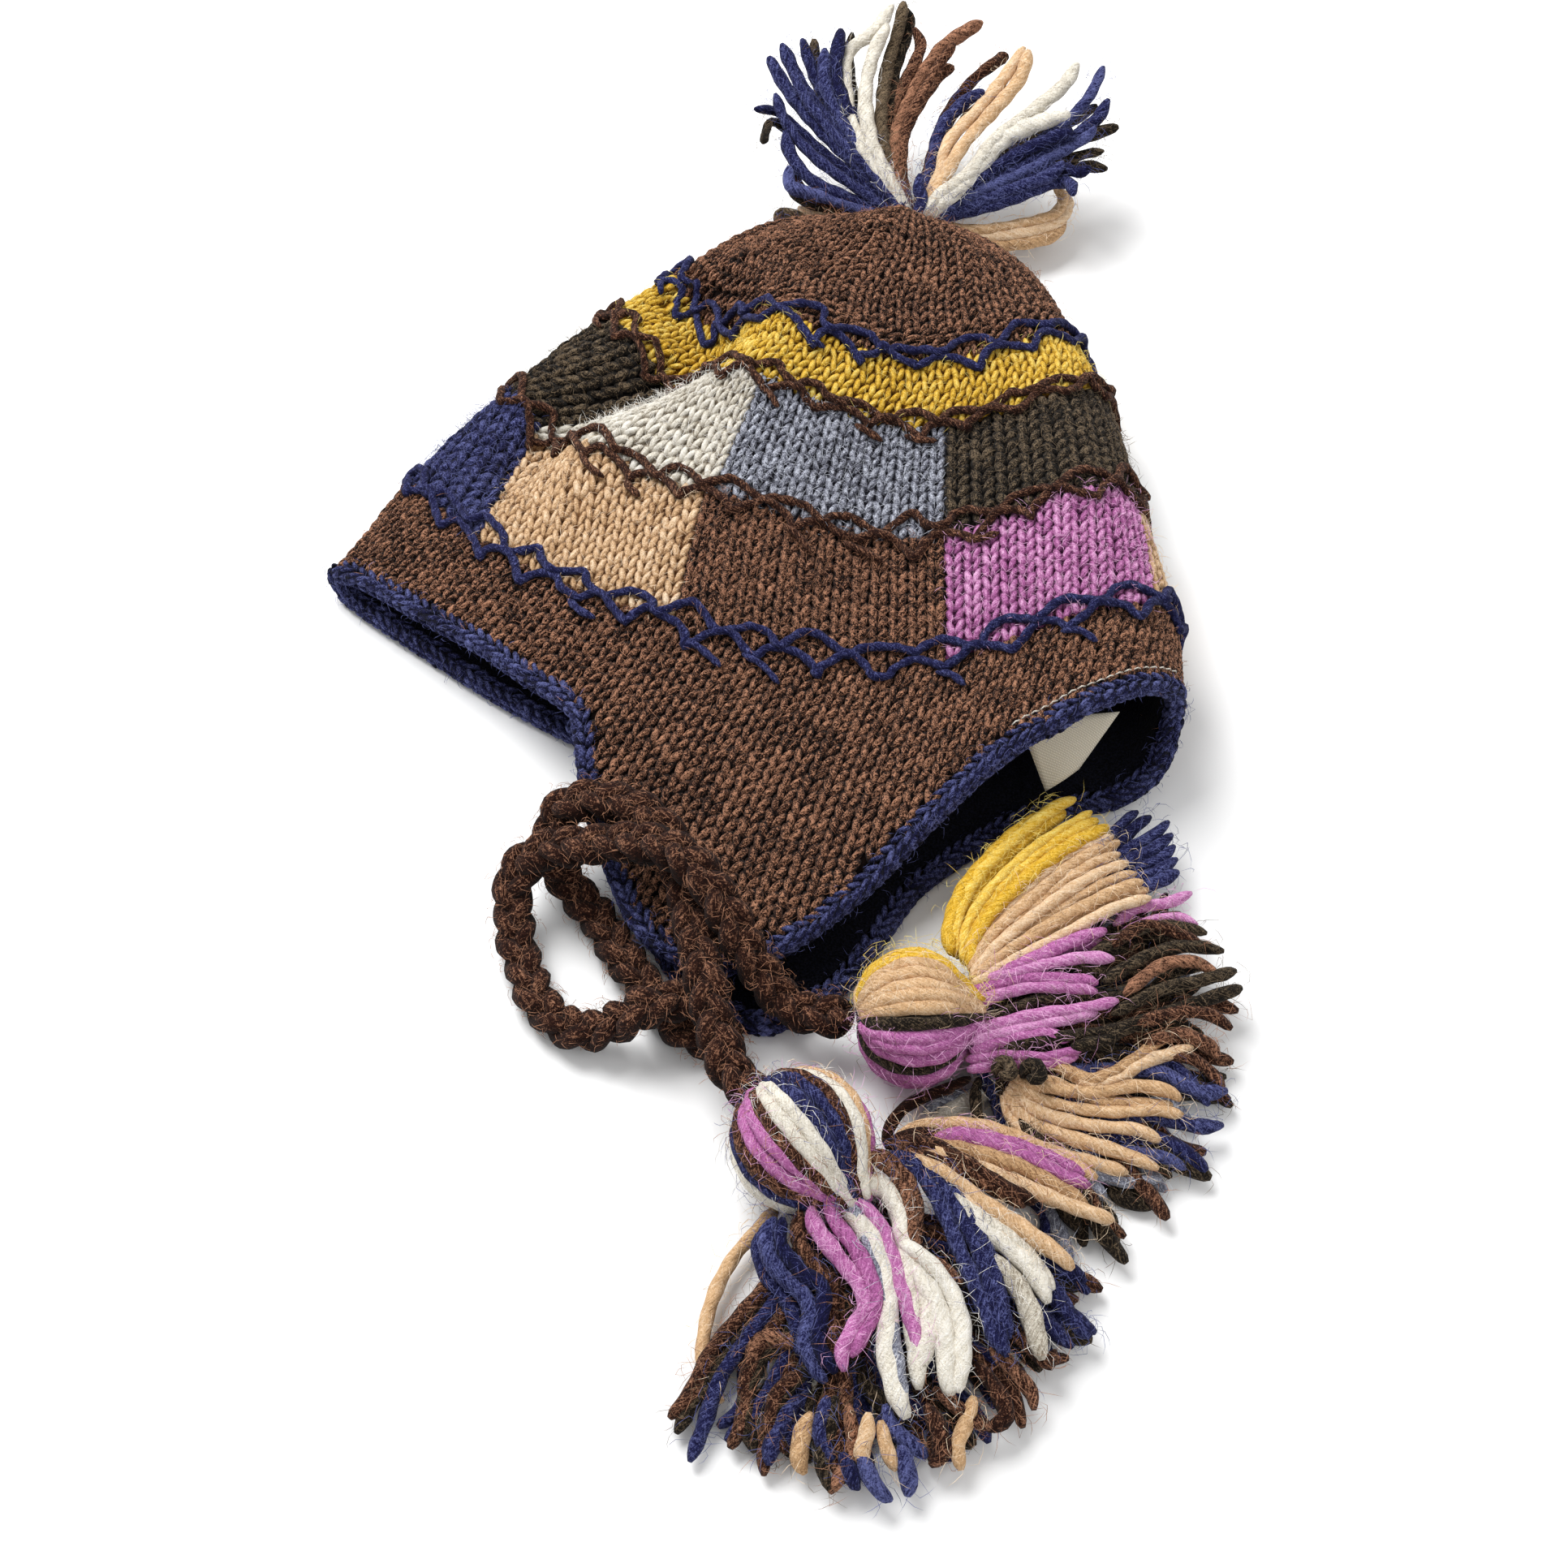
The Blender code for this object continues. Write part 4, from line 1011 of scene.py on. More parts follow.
def make_edge():
    """The chain on the edge, two rows of legs on each face, and a plain cord under them."""
    fine = edge_path(1600)
    along = np.concatenate([[0.0], np.cumsum(np.linalg.norm(np.diff(
        np.vstack([fine[0], fine[0][:1]]), axis=0), axis=1))])
    count = int(round(along[-1] / EDGE_PITCH))
    pick = np.searchsorted(along[:-1], np.linspace(0, along[-1], count, endpoint=False))
    point, ahead, away, over = [values[np.minimum(pick, len(fine[0]) - 1)] for values in fine]
    tone = rng.normal(0.9, 0.6, count)
    bags = []
    for hand in (-1.0, 1.0):
        size = 1 + rng.normal(0, 0.10, (count, 1))
        long = ahead * 0.0034 + over * (hand * 0.0011)
        wide = unit(np.cross(long, away)) * 0.00115 * size
        middle = point + away * 0.0016 + over * (hand * 0.0012)
        bags.append(copy_legs(FINE_LEG, middle, wide, long, away * 0.0014, tone))
        slope = -away * 0.0015 + ahead * 0.0031
        middle = point + away * (0.0006 + rng.normal(0, 0.0003, (count, 1))) + over * (hand * 0.0022)
        wide = unit(np.cross(slope, over * hand)) * 0.00105 * size
        bags.append(copy_legs(FINE_LEG, middle, wide, slope, over * (hand * 0.0011), tone))
        middle = middle + ahead * 0.0015 - away * 0.0027
        slope = -away * 0.0015 - ahead * 0.0027
        wide = unit(np.cross(slope, over * hand)) * 0.00105 * size
        bags.append(copy_legs(FINE_LEG, middle, wide, slope, over * (hand * 0.0011), tone))
    core = np.vstack([point, point[:2]])
    bags.append(tube(core, EDGE_CORE, 6))
    return write_piece("crochet_edge", bags, WOOL["navy"], ["edge_trim"])


crochet_edge = make_edge()
THREAD_PITCH, THREAD_LENGTH, THREAD_RADIUS = 0.0031, 0.0024, 0.00026


def machine_stitches(first, last):
    """The pale thread that holds the lining, in short stitches just above the crochet edge."""
    around = np.linspace(first, last, 4000)
    reach = edge_reach(around) - 0.0010 / CROWN_TO_RIM
    rows = np.array([knit_points(r, [a])[0] for r, a in zip(reach, around)])
    along = lengths_along(rows)
    bags = []
    for start in np.arange(0.0, along[-1] - 0.003, THREAD_PITCH):
        here = np.interp(start + THREAD_LENGTH * np.array((0.0, 0.5, 1.0)), along, around)
        rows_here = np.interp(here, around, reach)
        where = length_at(float(rows_here[1]), here)
        bags.append(tube(on_hat(rows_here, where, (-0.0001, 0.0007, -0.0001)), THREAD_RADIUS, 5))
    return bags


write_piece("lining_thread", machine_stitches(0.62, 0.98), WOOL["cream"])

# %% [markdown]
# Inside, the hat is lined with black fleece. It has no threads to see, only a soft, slightly
# clumped pile. The same surface serves again, moved in past the knitting. We divide it finely, and
# a cloud texture moves it by less than a millimetre before it gets its thickness.

# %% Fleece lining
lining, _ = hat_sheet("fleece_pile", 0.0040)
bpy.ops.object.mode_set(mode="EDIT")
bpy.ops.mesh.select_all(action="SELECT")
bpy.ops.mesh.subdivide(number_cuts=1, smoothness=0.0)
bpy.ops.object.mode_set(mode="OBJECT")
clouds = bpy.data.textures.new("pile", "CLOUDS")
clouds.noise_scale = 0.003
pile = lining.modifiers.new("pile", "DISPLACE")
pile.texture = clouds
pile.strength = 0.0012
pile.mid_level = 1.0
bpy.ops.object.modifier_apply(modifier="pile")
thicken(lining, 0.0009)


def fleece_material():
    material = bpy.data.materials.new("black_fleece")
    material.use_nodes = True
    nodes, links = material.node_tree.nodes, material.node_tree.links
    shader = nodes["Principled BSDF"]
    where = nodes.new("ShaderNodeTexCoord")
    pile = nodes.new("ShaderNodeTexNoise")
    pile.inputs["Scale"].default_value = 1500.0
    pile.inputs["Detail"].default_value = 6.0
    links.new(where.outputs["Object"], pile.inputs["Vector"])
    ramp = nodes.new("ShaderNodeValToRGB")
    ramp.color_ramp.elements[0].position = 0.4
    ramp.color_ramp.elements[0].color = linear((3, 3, 6))
    ramp.color_ramp.elements[1].position = 0.75
    ramp.color_ramp.elements[1].color = linear((24, 25, 38))
    links.new(pile.outputs["Fac"], ramp.inputs["Fac"])
    links.new(ramp.outputs["Color"], shader.inputs["Base Color"])
    bump = nodes.new("ShaderNodeBump")
    bump.inputs["Strength"].default_value = 0.8
    bump.inputs["Distance"].default_value = 0.0008
    links.new(pile.outputs["Fac"], bump.inputs["Height"])
    links.new(bump.outputs["Normal"], shader.inputs["Normal"])
    shader.inputs["Roughness"].default_value = 1.0
    shader.inputs["Specular IOR Level"].default_value = 0.05
    shader.inputs["Sheen Weight"].default_value = 0.04
    return material


lining.data.materials.append(fleece_material())
lining.data.shade_smooth()
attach(lining, "root")
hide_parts("fleece_lining")
print("the lining has", len(lining.data.polygons), "faces")

# %% [markdown]
# A hat like this carries a small care label, sewn in under the edge. Ours stays blank. It is a
# plane, divided finely, drawn between four corners with a slight bow, and given a thickness. Its
# woven tape finish has fine threads both ways, from two crossed waves.

# %% Blank label
def tape_material():
    """Pale tape of fine threads both ways."""
    material = bpy.data.materials.new("cream_tape")
    material.use_nodes = True
    nodes, links = material.node_tree.nodes, material.node_tree.links
    shader = nodes["Principled BSDF"]
    where = nodes.new("ShaderNodeTexCoord")
    height = []
    for axis in ("X", "Y"):
        wave = nodes.new("ShaderNodeTexWave")
        wave.bands_direction = axis
        wave.inputs["Scale"].default_value = 640.0
        wave.inputs["Distortion"].default_value = 0.6
        links.new(where.outputs["Object"], wave.inputs["Vector"])
        height.append(wave.outputs["Fac"])
    threads = nodes.new("ShaderNodeMath")
    threads.operation = "MULTIPLY"
    links.new(height[0], threads.inputs[0])
    links.new(height[1], threads.inputs[1])
    ramp = nodes.new("ShaderNodeValToRGB")
    ramp.color_ramp.elements[0].color = linear((176, 168, 150))
    ramp.color_ramp.elements[1].color = linear((226, 220, 204))
    links.new(threads.outputs["Value"], ramp.inputs["Fac"])
    links.new(ramp.outputs["Color"], shader.inputs["Base Color"])
    bump = nodes.new("ShaderNodeBump")
    bump.inputs["Strength"].default_value = 0.5
    bump.inputs["Distance"].default_value = 0.0002
    links.new(threads.outputs["Value"], bump.inputs["Height"])
    links.new(bump.outputs["Normal"], shader.inputs["Normal"])
    shader.inputs["Roughness"].default_value = 0.7
    return material


# Its four corners, from the sewn edge's left end round to its right end.
LABEL_CORNERS = ((0.0800, -0.0985, 0.0360), (0.0915, -0.1078, 0.0160), (0.1000, -0.1002, 0.0200),
                 (0.1085, -0.0860, 0.0330))
LABEL_BOW, LABEL_THICKNESS = 0.0016, 0.0005
bpy.ops.object.select_all(action="DESELECT")
bpy.ops.mesh.primitive_plane_add(size=1.0, location=(0.0, 0.0, 0.0))
label = bpy.context.object
label.name = "blank_label"
bpy.ops.object.mode_set(mode="EDIT")
bpy.ops.mesh.select_all(action="SELECT")
bpy.ops.mesh.subdivide(number_cuts=8, smoothness=0.0)
bpy.ops.object.mode_set(mode="OBJECT")
top_left, low_left, low_right, top_right = [np.array(corner) for corner in LABEL_CORNERS]
for vertex in label.data.vertices:
    s, t = vertex.co.x + 0.5, vertex.co.y + 0.5
    upper = top_left + (top_right - top_left) * s
    lower = low_left + (low_right - low_left) * s
    bow = LABEL_BOW * math.sin(math.pi * s) * (1 - t)
    vertex.co = Vector(lower + (upper - lower) * t + np.array((0.0, -bow, bow)))
label.data.update()
thicken(label, LABEL_THICKNESS)
label.data.materials.append(tape_material())
label.data.shade_smooth()
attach(label, "root")
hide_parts("care_label")
print("the label is", round(1000 * float(np.linalg.norm(top_right - top_left))), "mm wide")

# %% [markdown]
# Each tassel has a head: the yarns run from the tie over a small ball like the lines of a globe, and
# a wound thread gathers them at the neck. A ball of plain mesh would look dead here, so the head is
# made of its yarns alone, over a dark core. Their colours are listed as they follow one another
# round the ball, from the camera's far side to its near side.

# %% Tassel heads
STRAND = 0.0022  # radius of a loose yarn
FULLER = {"cream": 1.25, "yellow": 1.15, "navy": 1.05}  # softer yarns, thicker than the others
HEAD_PROFILE = ((-0.0188, 0.0030), (-0.0172, 0.0082), (-0.0125, 0.0138), (-0.0050, 0.0172),
                (0.0020, 0.0174), (0.0090, 0.0148), (0.0140, 0.0104), (0.0175, 0.0072),
                (0.0205, 0.0052), (0.0235, 0.0044))


def head(centre, root, colours, first_turn, squeeze=1.0):
    """Yarns over a tassel's head, from the tie's end to just past the neck."""
    middle = np.array([*centre, 0.0195])
    axis = unit(np.array([root[0] - centre[0], root[1] - centre[1], 0.0]))
    aside = np.cross(axis, [0.0, 0.0, 1.0])
    bags = []
    for k, colour in enumerate(colours):
        turn = first_turn + k / len(colours) * 2 * math.pi
        away = math.cos(turn) * np.array([0.0, 0.0, 1.0]) + math.sin(turn) * aside
        drift = rng.normal(0, 0.0004, 3)
        route = [middle + axis * along * squeeze + away * out + drift for along, out in HEAD_PROFILE]
        for point in route:
            point[2] = max(point[2], STRAND)
        bags += [(colour, bag) for bag in yarn(route, STRAND, phase=k)]
    core = [middle + axis * along * squeeze
            for along in (-0.0150, -0.0120, -0.006, 0.0, 0.006, 0.0120, 0.0200)]
    bags.append(("olive", tube(core, (0.006, 0.0110, 0.0150, 0.0160, 0.0145, 0.0100, 0.0055), 12)))
    return bags


def traced(strands, radius=STRAND):
    """Loose yarns from places in the picture, each with a height at its start and at its end."""
    bags = []
    for k, (colour, start, end, places) in enumerate(strands):
        heights = np.linspace(start, end, len(places)) / 1000
        route = [seen(x, y, h) for (x, y), h in zip(places, heights)]
        thick = radius * FULLER.get(colour, 1.0) * (1 + rng.normal(0, 0.09))
        bags += [(colour, bag) for bag in yarn(route, thick, phase=k, tone=rng.normal(0.2, 0.6))]
    return bags


def filling(root, fan, colours, count, length, height):
    """Yarns under the traced ones: from the neck out over the floor, between two directions."""
    bags = []
    for k in range(count):
        turn = math.radians(fan[0] + (fan[1] - fan[0]) * (k + 0.5) / count + rng.normal(0, 2.5))
        way = np.array([math.cos(turn), math.sin(turn), 0.0])
        side = np.array([-way[1], way[0], 0.0])
        far = length * rng.uniform(0.80, 1.0)
        top = height * rng.uniform(0.4, 1.0)
        sway = rng.normal(0, 0.0022, 4)
        shares = (0.02, 0.22, 0.45, 0.70, 0.88, 1.0)
        lifts = (0.011, 0.010, 0.8 * top + 0.002, 0.6 * top, 0.5 * top, 0.4 * top)
        route = []
        for i, (share, lift) in enumerate(zip(shares, lifts)):
            bend = 0.0 if i < 2 else sway[i - 2]
            z = max(lift, STRAND * 1.1)
            route.append(np.array([*root, z]) + way * far * share + side * bend)
        colour = colours[k % len(colours)]
        bags += [(colour, bag) for bag in yarn(route, STRAND, phase=k)]
    return bags


print("a head is", round(2000 * max(out for _, out in HEAD_PROFILE) + 2000 * STRAND, 1), "mm across")

# %% [markdown]
# The near tie's tassel lies to the right. Yellow, tan and orchid yarns lie on top of a dark olive
# and brown mass, with navy ends and a grey bottom layer. A brown tail of the tie leads away.

# %% Near tassel
# Each strand: colour, height in mm at its start and at its end, then its places in the picture.
NEAR_BALL, NEAR_ROOT = (0.0706, -0.1950), (0.0850, -0.1905)
NEAR_HEAD = ["yellow"] * 3 + ["tan"] * 5 + ["olive"] + ["orchid"] * 3 + ["olive"] + ["orchid"] * 7
NEAR_HEAD += ["brown", "olive", "navy", "grey", "olive", "brown", "navy", "grey", "tan", "yellow"]
NEAR_STRANDS = (
    ("yellow", 19, 15, ((1176, 1178), (1178, 1135), (1205, 1080), (1255, 1030), (1300, 995), (1325, 984))),
    ("yellow", 21, 15, ((1186, 1184), (1192, 1140), (1225, 1090), (1280, 1040), (1345, 1000))),
    ("yellow", 22, 15, ((1192, 1190), (1206, 1146), (1250, 1095), (1310, 1048), (1366, 1018))),
    ("yellow", 17, 13, ((1180, 1180), (1184, 1138), (1214, 1086), (1262, 1036), (1312, 1000))),
    ("yellow", 19, 14, ((1188, 1188), (1198, 1144), (1238, 1092), (1292, 1046), (1352, 1010))),
    ("yellow", 20, 14, ((1172, 1176), (1170, 1140), (1192, 1090), (1236, 1040), (1284, 1002))),
    ("tan", 19, 14, ((1194, 1196), (1216, 1150), (1262, 1100), (1316, 1054), (1372, 1030))),
    ("tan", 20, 14, ((1196, 1204), (1228, 1158), (1280, 1112), (1332, 1072), (1380, 1052))),
    ("tan", 20, 14, ((1196, 1210), (1238, 1168), (1300, 1124), (1358, 1090), (1400, 1076))),
    ("tan", 20, 14, ((1196, 1214), (1246, 1180), (1316, 1138), (1372, 1108), (1414, 1096))),
    ("orchid", 18, 15, ((1200, 1216), (1262, 1182), (1320, 1166), (1368, 1164))),
    ("orchid", 19, 15, ((1190, 1280), (1236, 1266), (1290, 1252), (1342, 1240))),
    ("navy", 13, 12, ((1356, 1092), (1392, 1062), (1424, 1044), (1444, 1028))),
    ("navy", 13, 12, ((1366, 1106), (1402, 1084), (1432, 1070), (1450, 1058))),
    ("navy", 12, 12, ((1350, 1078), (1378, 1040), (1400, 1018), (1418, 1006))),
    ("tan", 22, 15, ((1194, 1196), (1222, 1152), (1270, 1108), (1320, 1066), (1366, 1040))),
    ("tan", 23, 15, ((1196, 1202), (1232, 1162), (1290, 1116), (1345, 1080), (1390, 1062))),
    ("tan", 23, 16, ((1196, 1208), (1242, 1172), (1310, 1130), (1370, 1100), (1408, 1086))),
    ("tan", 23, 16, ((1196, 1214), (1248, 1184), (1320, 1146), (1375, 1118), (1418, 1106))),
    ("tan", 20, 13, ((1196, 1206), (1240, 1150), (1296, 1092), (1340, 1062), (1380, 1036))),
    ("orchid", 23, 19, ((1230, 1200), (1285, 1176), (1325, 1158), (1363, 1146))),
    ("orchid", 23, 19, ((1215, 1206), (1290, 1188), (1335, 1180), (1373, 1182))),
    ("orchid", 23, 19, ((1180, 1240), (1205, 1220), (1260, 1206), (1320, 1207), (1353, 1211))),
    ("orchid", 23, 18, ((1182, 1250), (1218, 1230), (1270, 1217), (1325, 1217), (1352, 1222))),
    ("orchid", 23, 18, ((1190, 1275), (1230, 1262), (1280, 1250), (1330, 1243), (1378, 1233))),
    ("orchid", 23, 17, ((1192, 1285), (1240, 1272), (1300, 1259), (1352, 1247))),
    ("orchid", 22, 17, ((1196, 1296), (1240, 1281), (1285, 1275), (1318, 1281))),
    ("orchid", 21, 16, ((1190, 1306), (1230, 1300), (1290, 1302), (1334, 1292))),
    ("orchid", 19, 15, ((1192, 1318), (1235, 1309), (1290, 1308), (1328, 1301))),
    ("olive", 22, 14, ((1194, 1212), (1240, 1192), (1300, 1186), (1362, 1198), (1420, 1200))),
    ("olive", 21, 13, ((1205, 1262), (1260, 1238), (1310, 1228), (1380, 1228), (1450, 1215))),
    ("olive", 20, 12, ((1230, 1290), (1310, 1277), (1370, 1270), (1430, 1250), (1485, 1232))),
    ("olive", 18, 12, ((1320, 1290), (1360, 1282), (1400, 1262), (1460, 1240), (1530, 1217))),
    ("olive", 18, 13, ((1340, 1180), (1390, 1150), (1440, 1140), (1487, 1150))),
    ("olive", 18, 13, ((1360, 1210), (1410, 1180), (1460, 1166), (1508, 1172))),
    ("olive", 17, 12, ((1370, 1250), (1430, 1220), (1480, 1208), (1523, 1196))),
    ("brown", 18, 14, ((1370, 1165), (1410, 1140), (1450, 1150), (1480, 1165))),
    ("brown", 18, 13, ((1385, 1225), (1430, 1190), (1470, 1185), (1500, 1200))),
    ("brown", 16, 12, ((1400, 1262), (1450, 1248), (1490, 1250), (1518, 1268))),
    ("brown", 14, 9, ((1410, 1285), (1455, 1275), (1490, 1290), (1502, 1306))),
    ("brown", 12, 7, ((1430, 1300), (1470, 1305), (1500, 1330), (1506, 1346))),
    ("orchid", 14, 12, ((1372, 1140), (1400, 1120), (1440, 1112), (1468, 1100))),
    ("orchid", 13, 12, ((1380, 1152), (1415, 1136), (1450, 1130), (1476, 1140))),
    ("navy", 12, 12, ((1350, 1085), (1385, 1050), (1420, 1030), (1440, 1012))),
    ("navy", 11, 12, ((1360, 1100), (1400, 1072), (1430, 1058), (1447, 1042))),
    ("navy", 12, 12, ((1370, 1115), (1405, 1096), (1436, 1082), (1452, 1074))),
    ("navy", 12, 12, ((1345, 1070), (1370, 1030), (1390, 1008), (1402, 1000))),
    ("grey", 8, 6, ((1250, 1350), (1300, 1420), (1350, 1445), (1400, 1452))),
    ("grey", 7, 6, ((1260, 1360), (1320, 1430), (1380, 1455), (1432, 1452))),
    ("grey", 6, 4, ((1250, 1340), (1180, 1352), (1150, 1362), (1138, 1372))),
    ("cream", 6, 4, ((1240, 1335), (1200, 1352), (1165, 1372), (1150, 1380))),
    ("navy", 12, 7, ((1300, 1320), (1370, 1318), (1430, 1322), (1475, 1345), (1512, 1344))),
    ("navy", 11, 6, ((1290, 1350), (1360, 1372), (1430, 1378), (1480, 1388), (1507, 1386))),
    ("navy", 10, 6, ((1280, 1360), (1350, 1396), (1420, 1402), (1460, 1420), (1487, 1443))),
    ("navy", 10, 6, ((1270, 1370), (1330, 1410), (1380, 1418), (1430, 1425), (1462, 1440))),
    ("navy", 12, 7, ((1330, 1325), (1390, 1312), (1440, 1308), (1490, 1362))),
    ("tan", 17, 12, ((1245, 1330), (1290, 1340), (1350, 1346), (1400, 1338), (1440, 1345), (1455, 1356))),
    ("tan", 16, 11, ((1243, 1335), (1290, 1357), (1360, 1370), (1420, 1368), (1458, 1374))),
    ("tan", 15, 10, ((1240, 1340), (1280, 1370), (1340, 1386), (1400, 1392), (1430, 1406))),
    ("tan", 14, 9, ((1238, 1345), (1265, 1380), (1320, 1402), (1380, 1420), (1428, 1440))),
    ("tan", 13, 8, ((1234, 1350), (1253, 1387), (1290, 1416), (1345, 1432), (1390, 1446))),
    ("tan", 16, 10, ((1250, 1328), (1300, 1334), (1350, 1356), (1400, 1360), (1445, 1362))),
    ("tan", 15, 11, ((1290, 1308), (1340, 1330), (1370, 1323), (1405, 1300), (1435, 1278), (1462, 1272))),
    ("tan", 14, 11, ((1300, 1312), (1345, 1336), (1380, 1326), (1412, 1308), (1445, 1298), (1470, 1290))),
    ("brown", 12, 9, ((1196, 1328), (1165, 1342), (1125, 1358), (1104, 1376), (1093, 1398), (1094, 1416))),
    ("olive", 12, 9, ((1206, 1328), (1202, 1350), (1204, 1372), (1212, 1390))),
)
near_yarns = head(NEAR_BALL, NEAR_ROOT, NEAR_HEAD, math.radians(-62), 0.80)
near_yarns += filling(NEAR_ROOT, (76, -54), ["olive", "brown", "olive"], 34, 0.080, 0.013)
near_yarns += filling(NEAR_ROOT, (70, -60), ["olive", "navy", "olive", "grey"], 26, 0.074, 0.006)
near_yarns += traced(NEAR_STRANDS, 0.0019)
KNOT_LOOP = ((-12, 6), (-8, -6), (4, -8), (9, 2), (2, 8), (-6, 4))
for across, down in ((1237, 1318), (1272, 1322)):
    near_yarns += traced([("olive", 20, 23, [(across + x, down + y) for x, y in KNOT_LOOP])])
near_tassel = write_colours("near_tassel_yarns", near_yarns, ["near_tassel"])

# %% [markdown]
# The far tie's tassel lies in front. Its head is striped in navy, cream, orchid, brown and tan, and
# its yarns fan out towards us, with brown and navy ends curling underneath. One thin tan yarn has
# slipped out to the left.

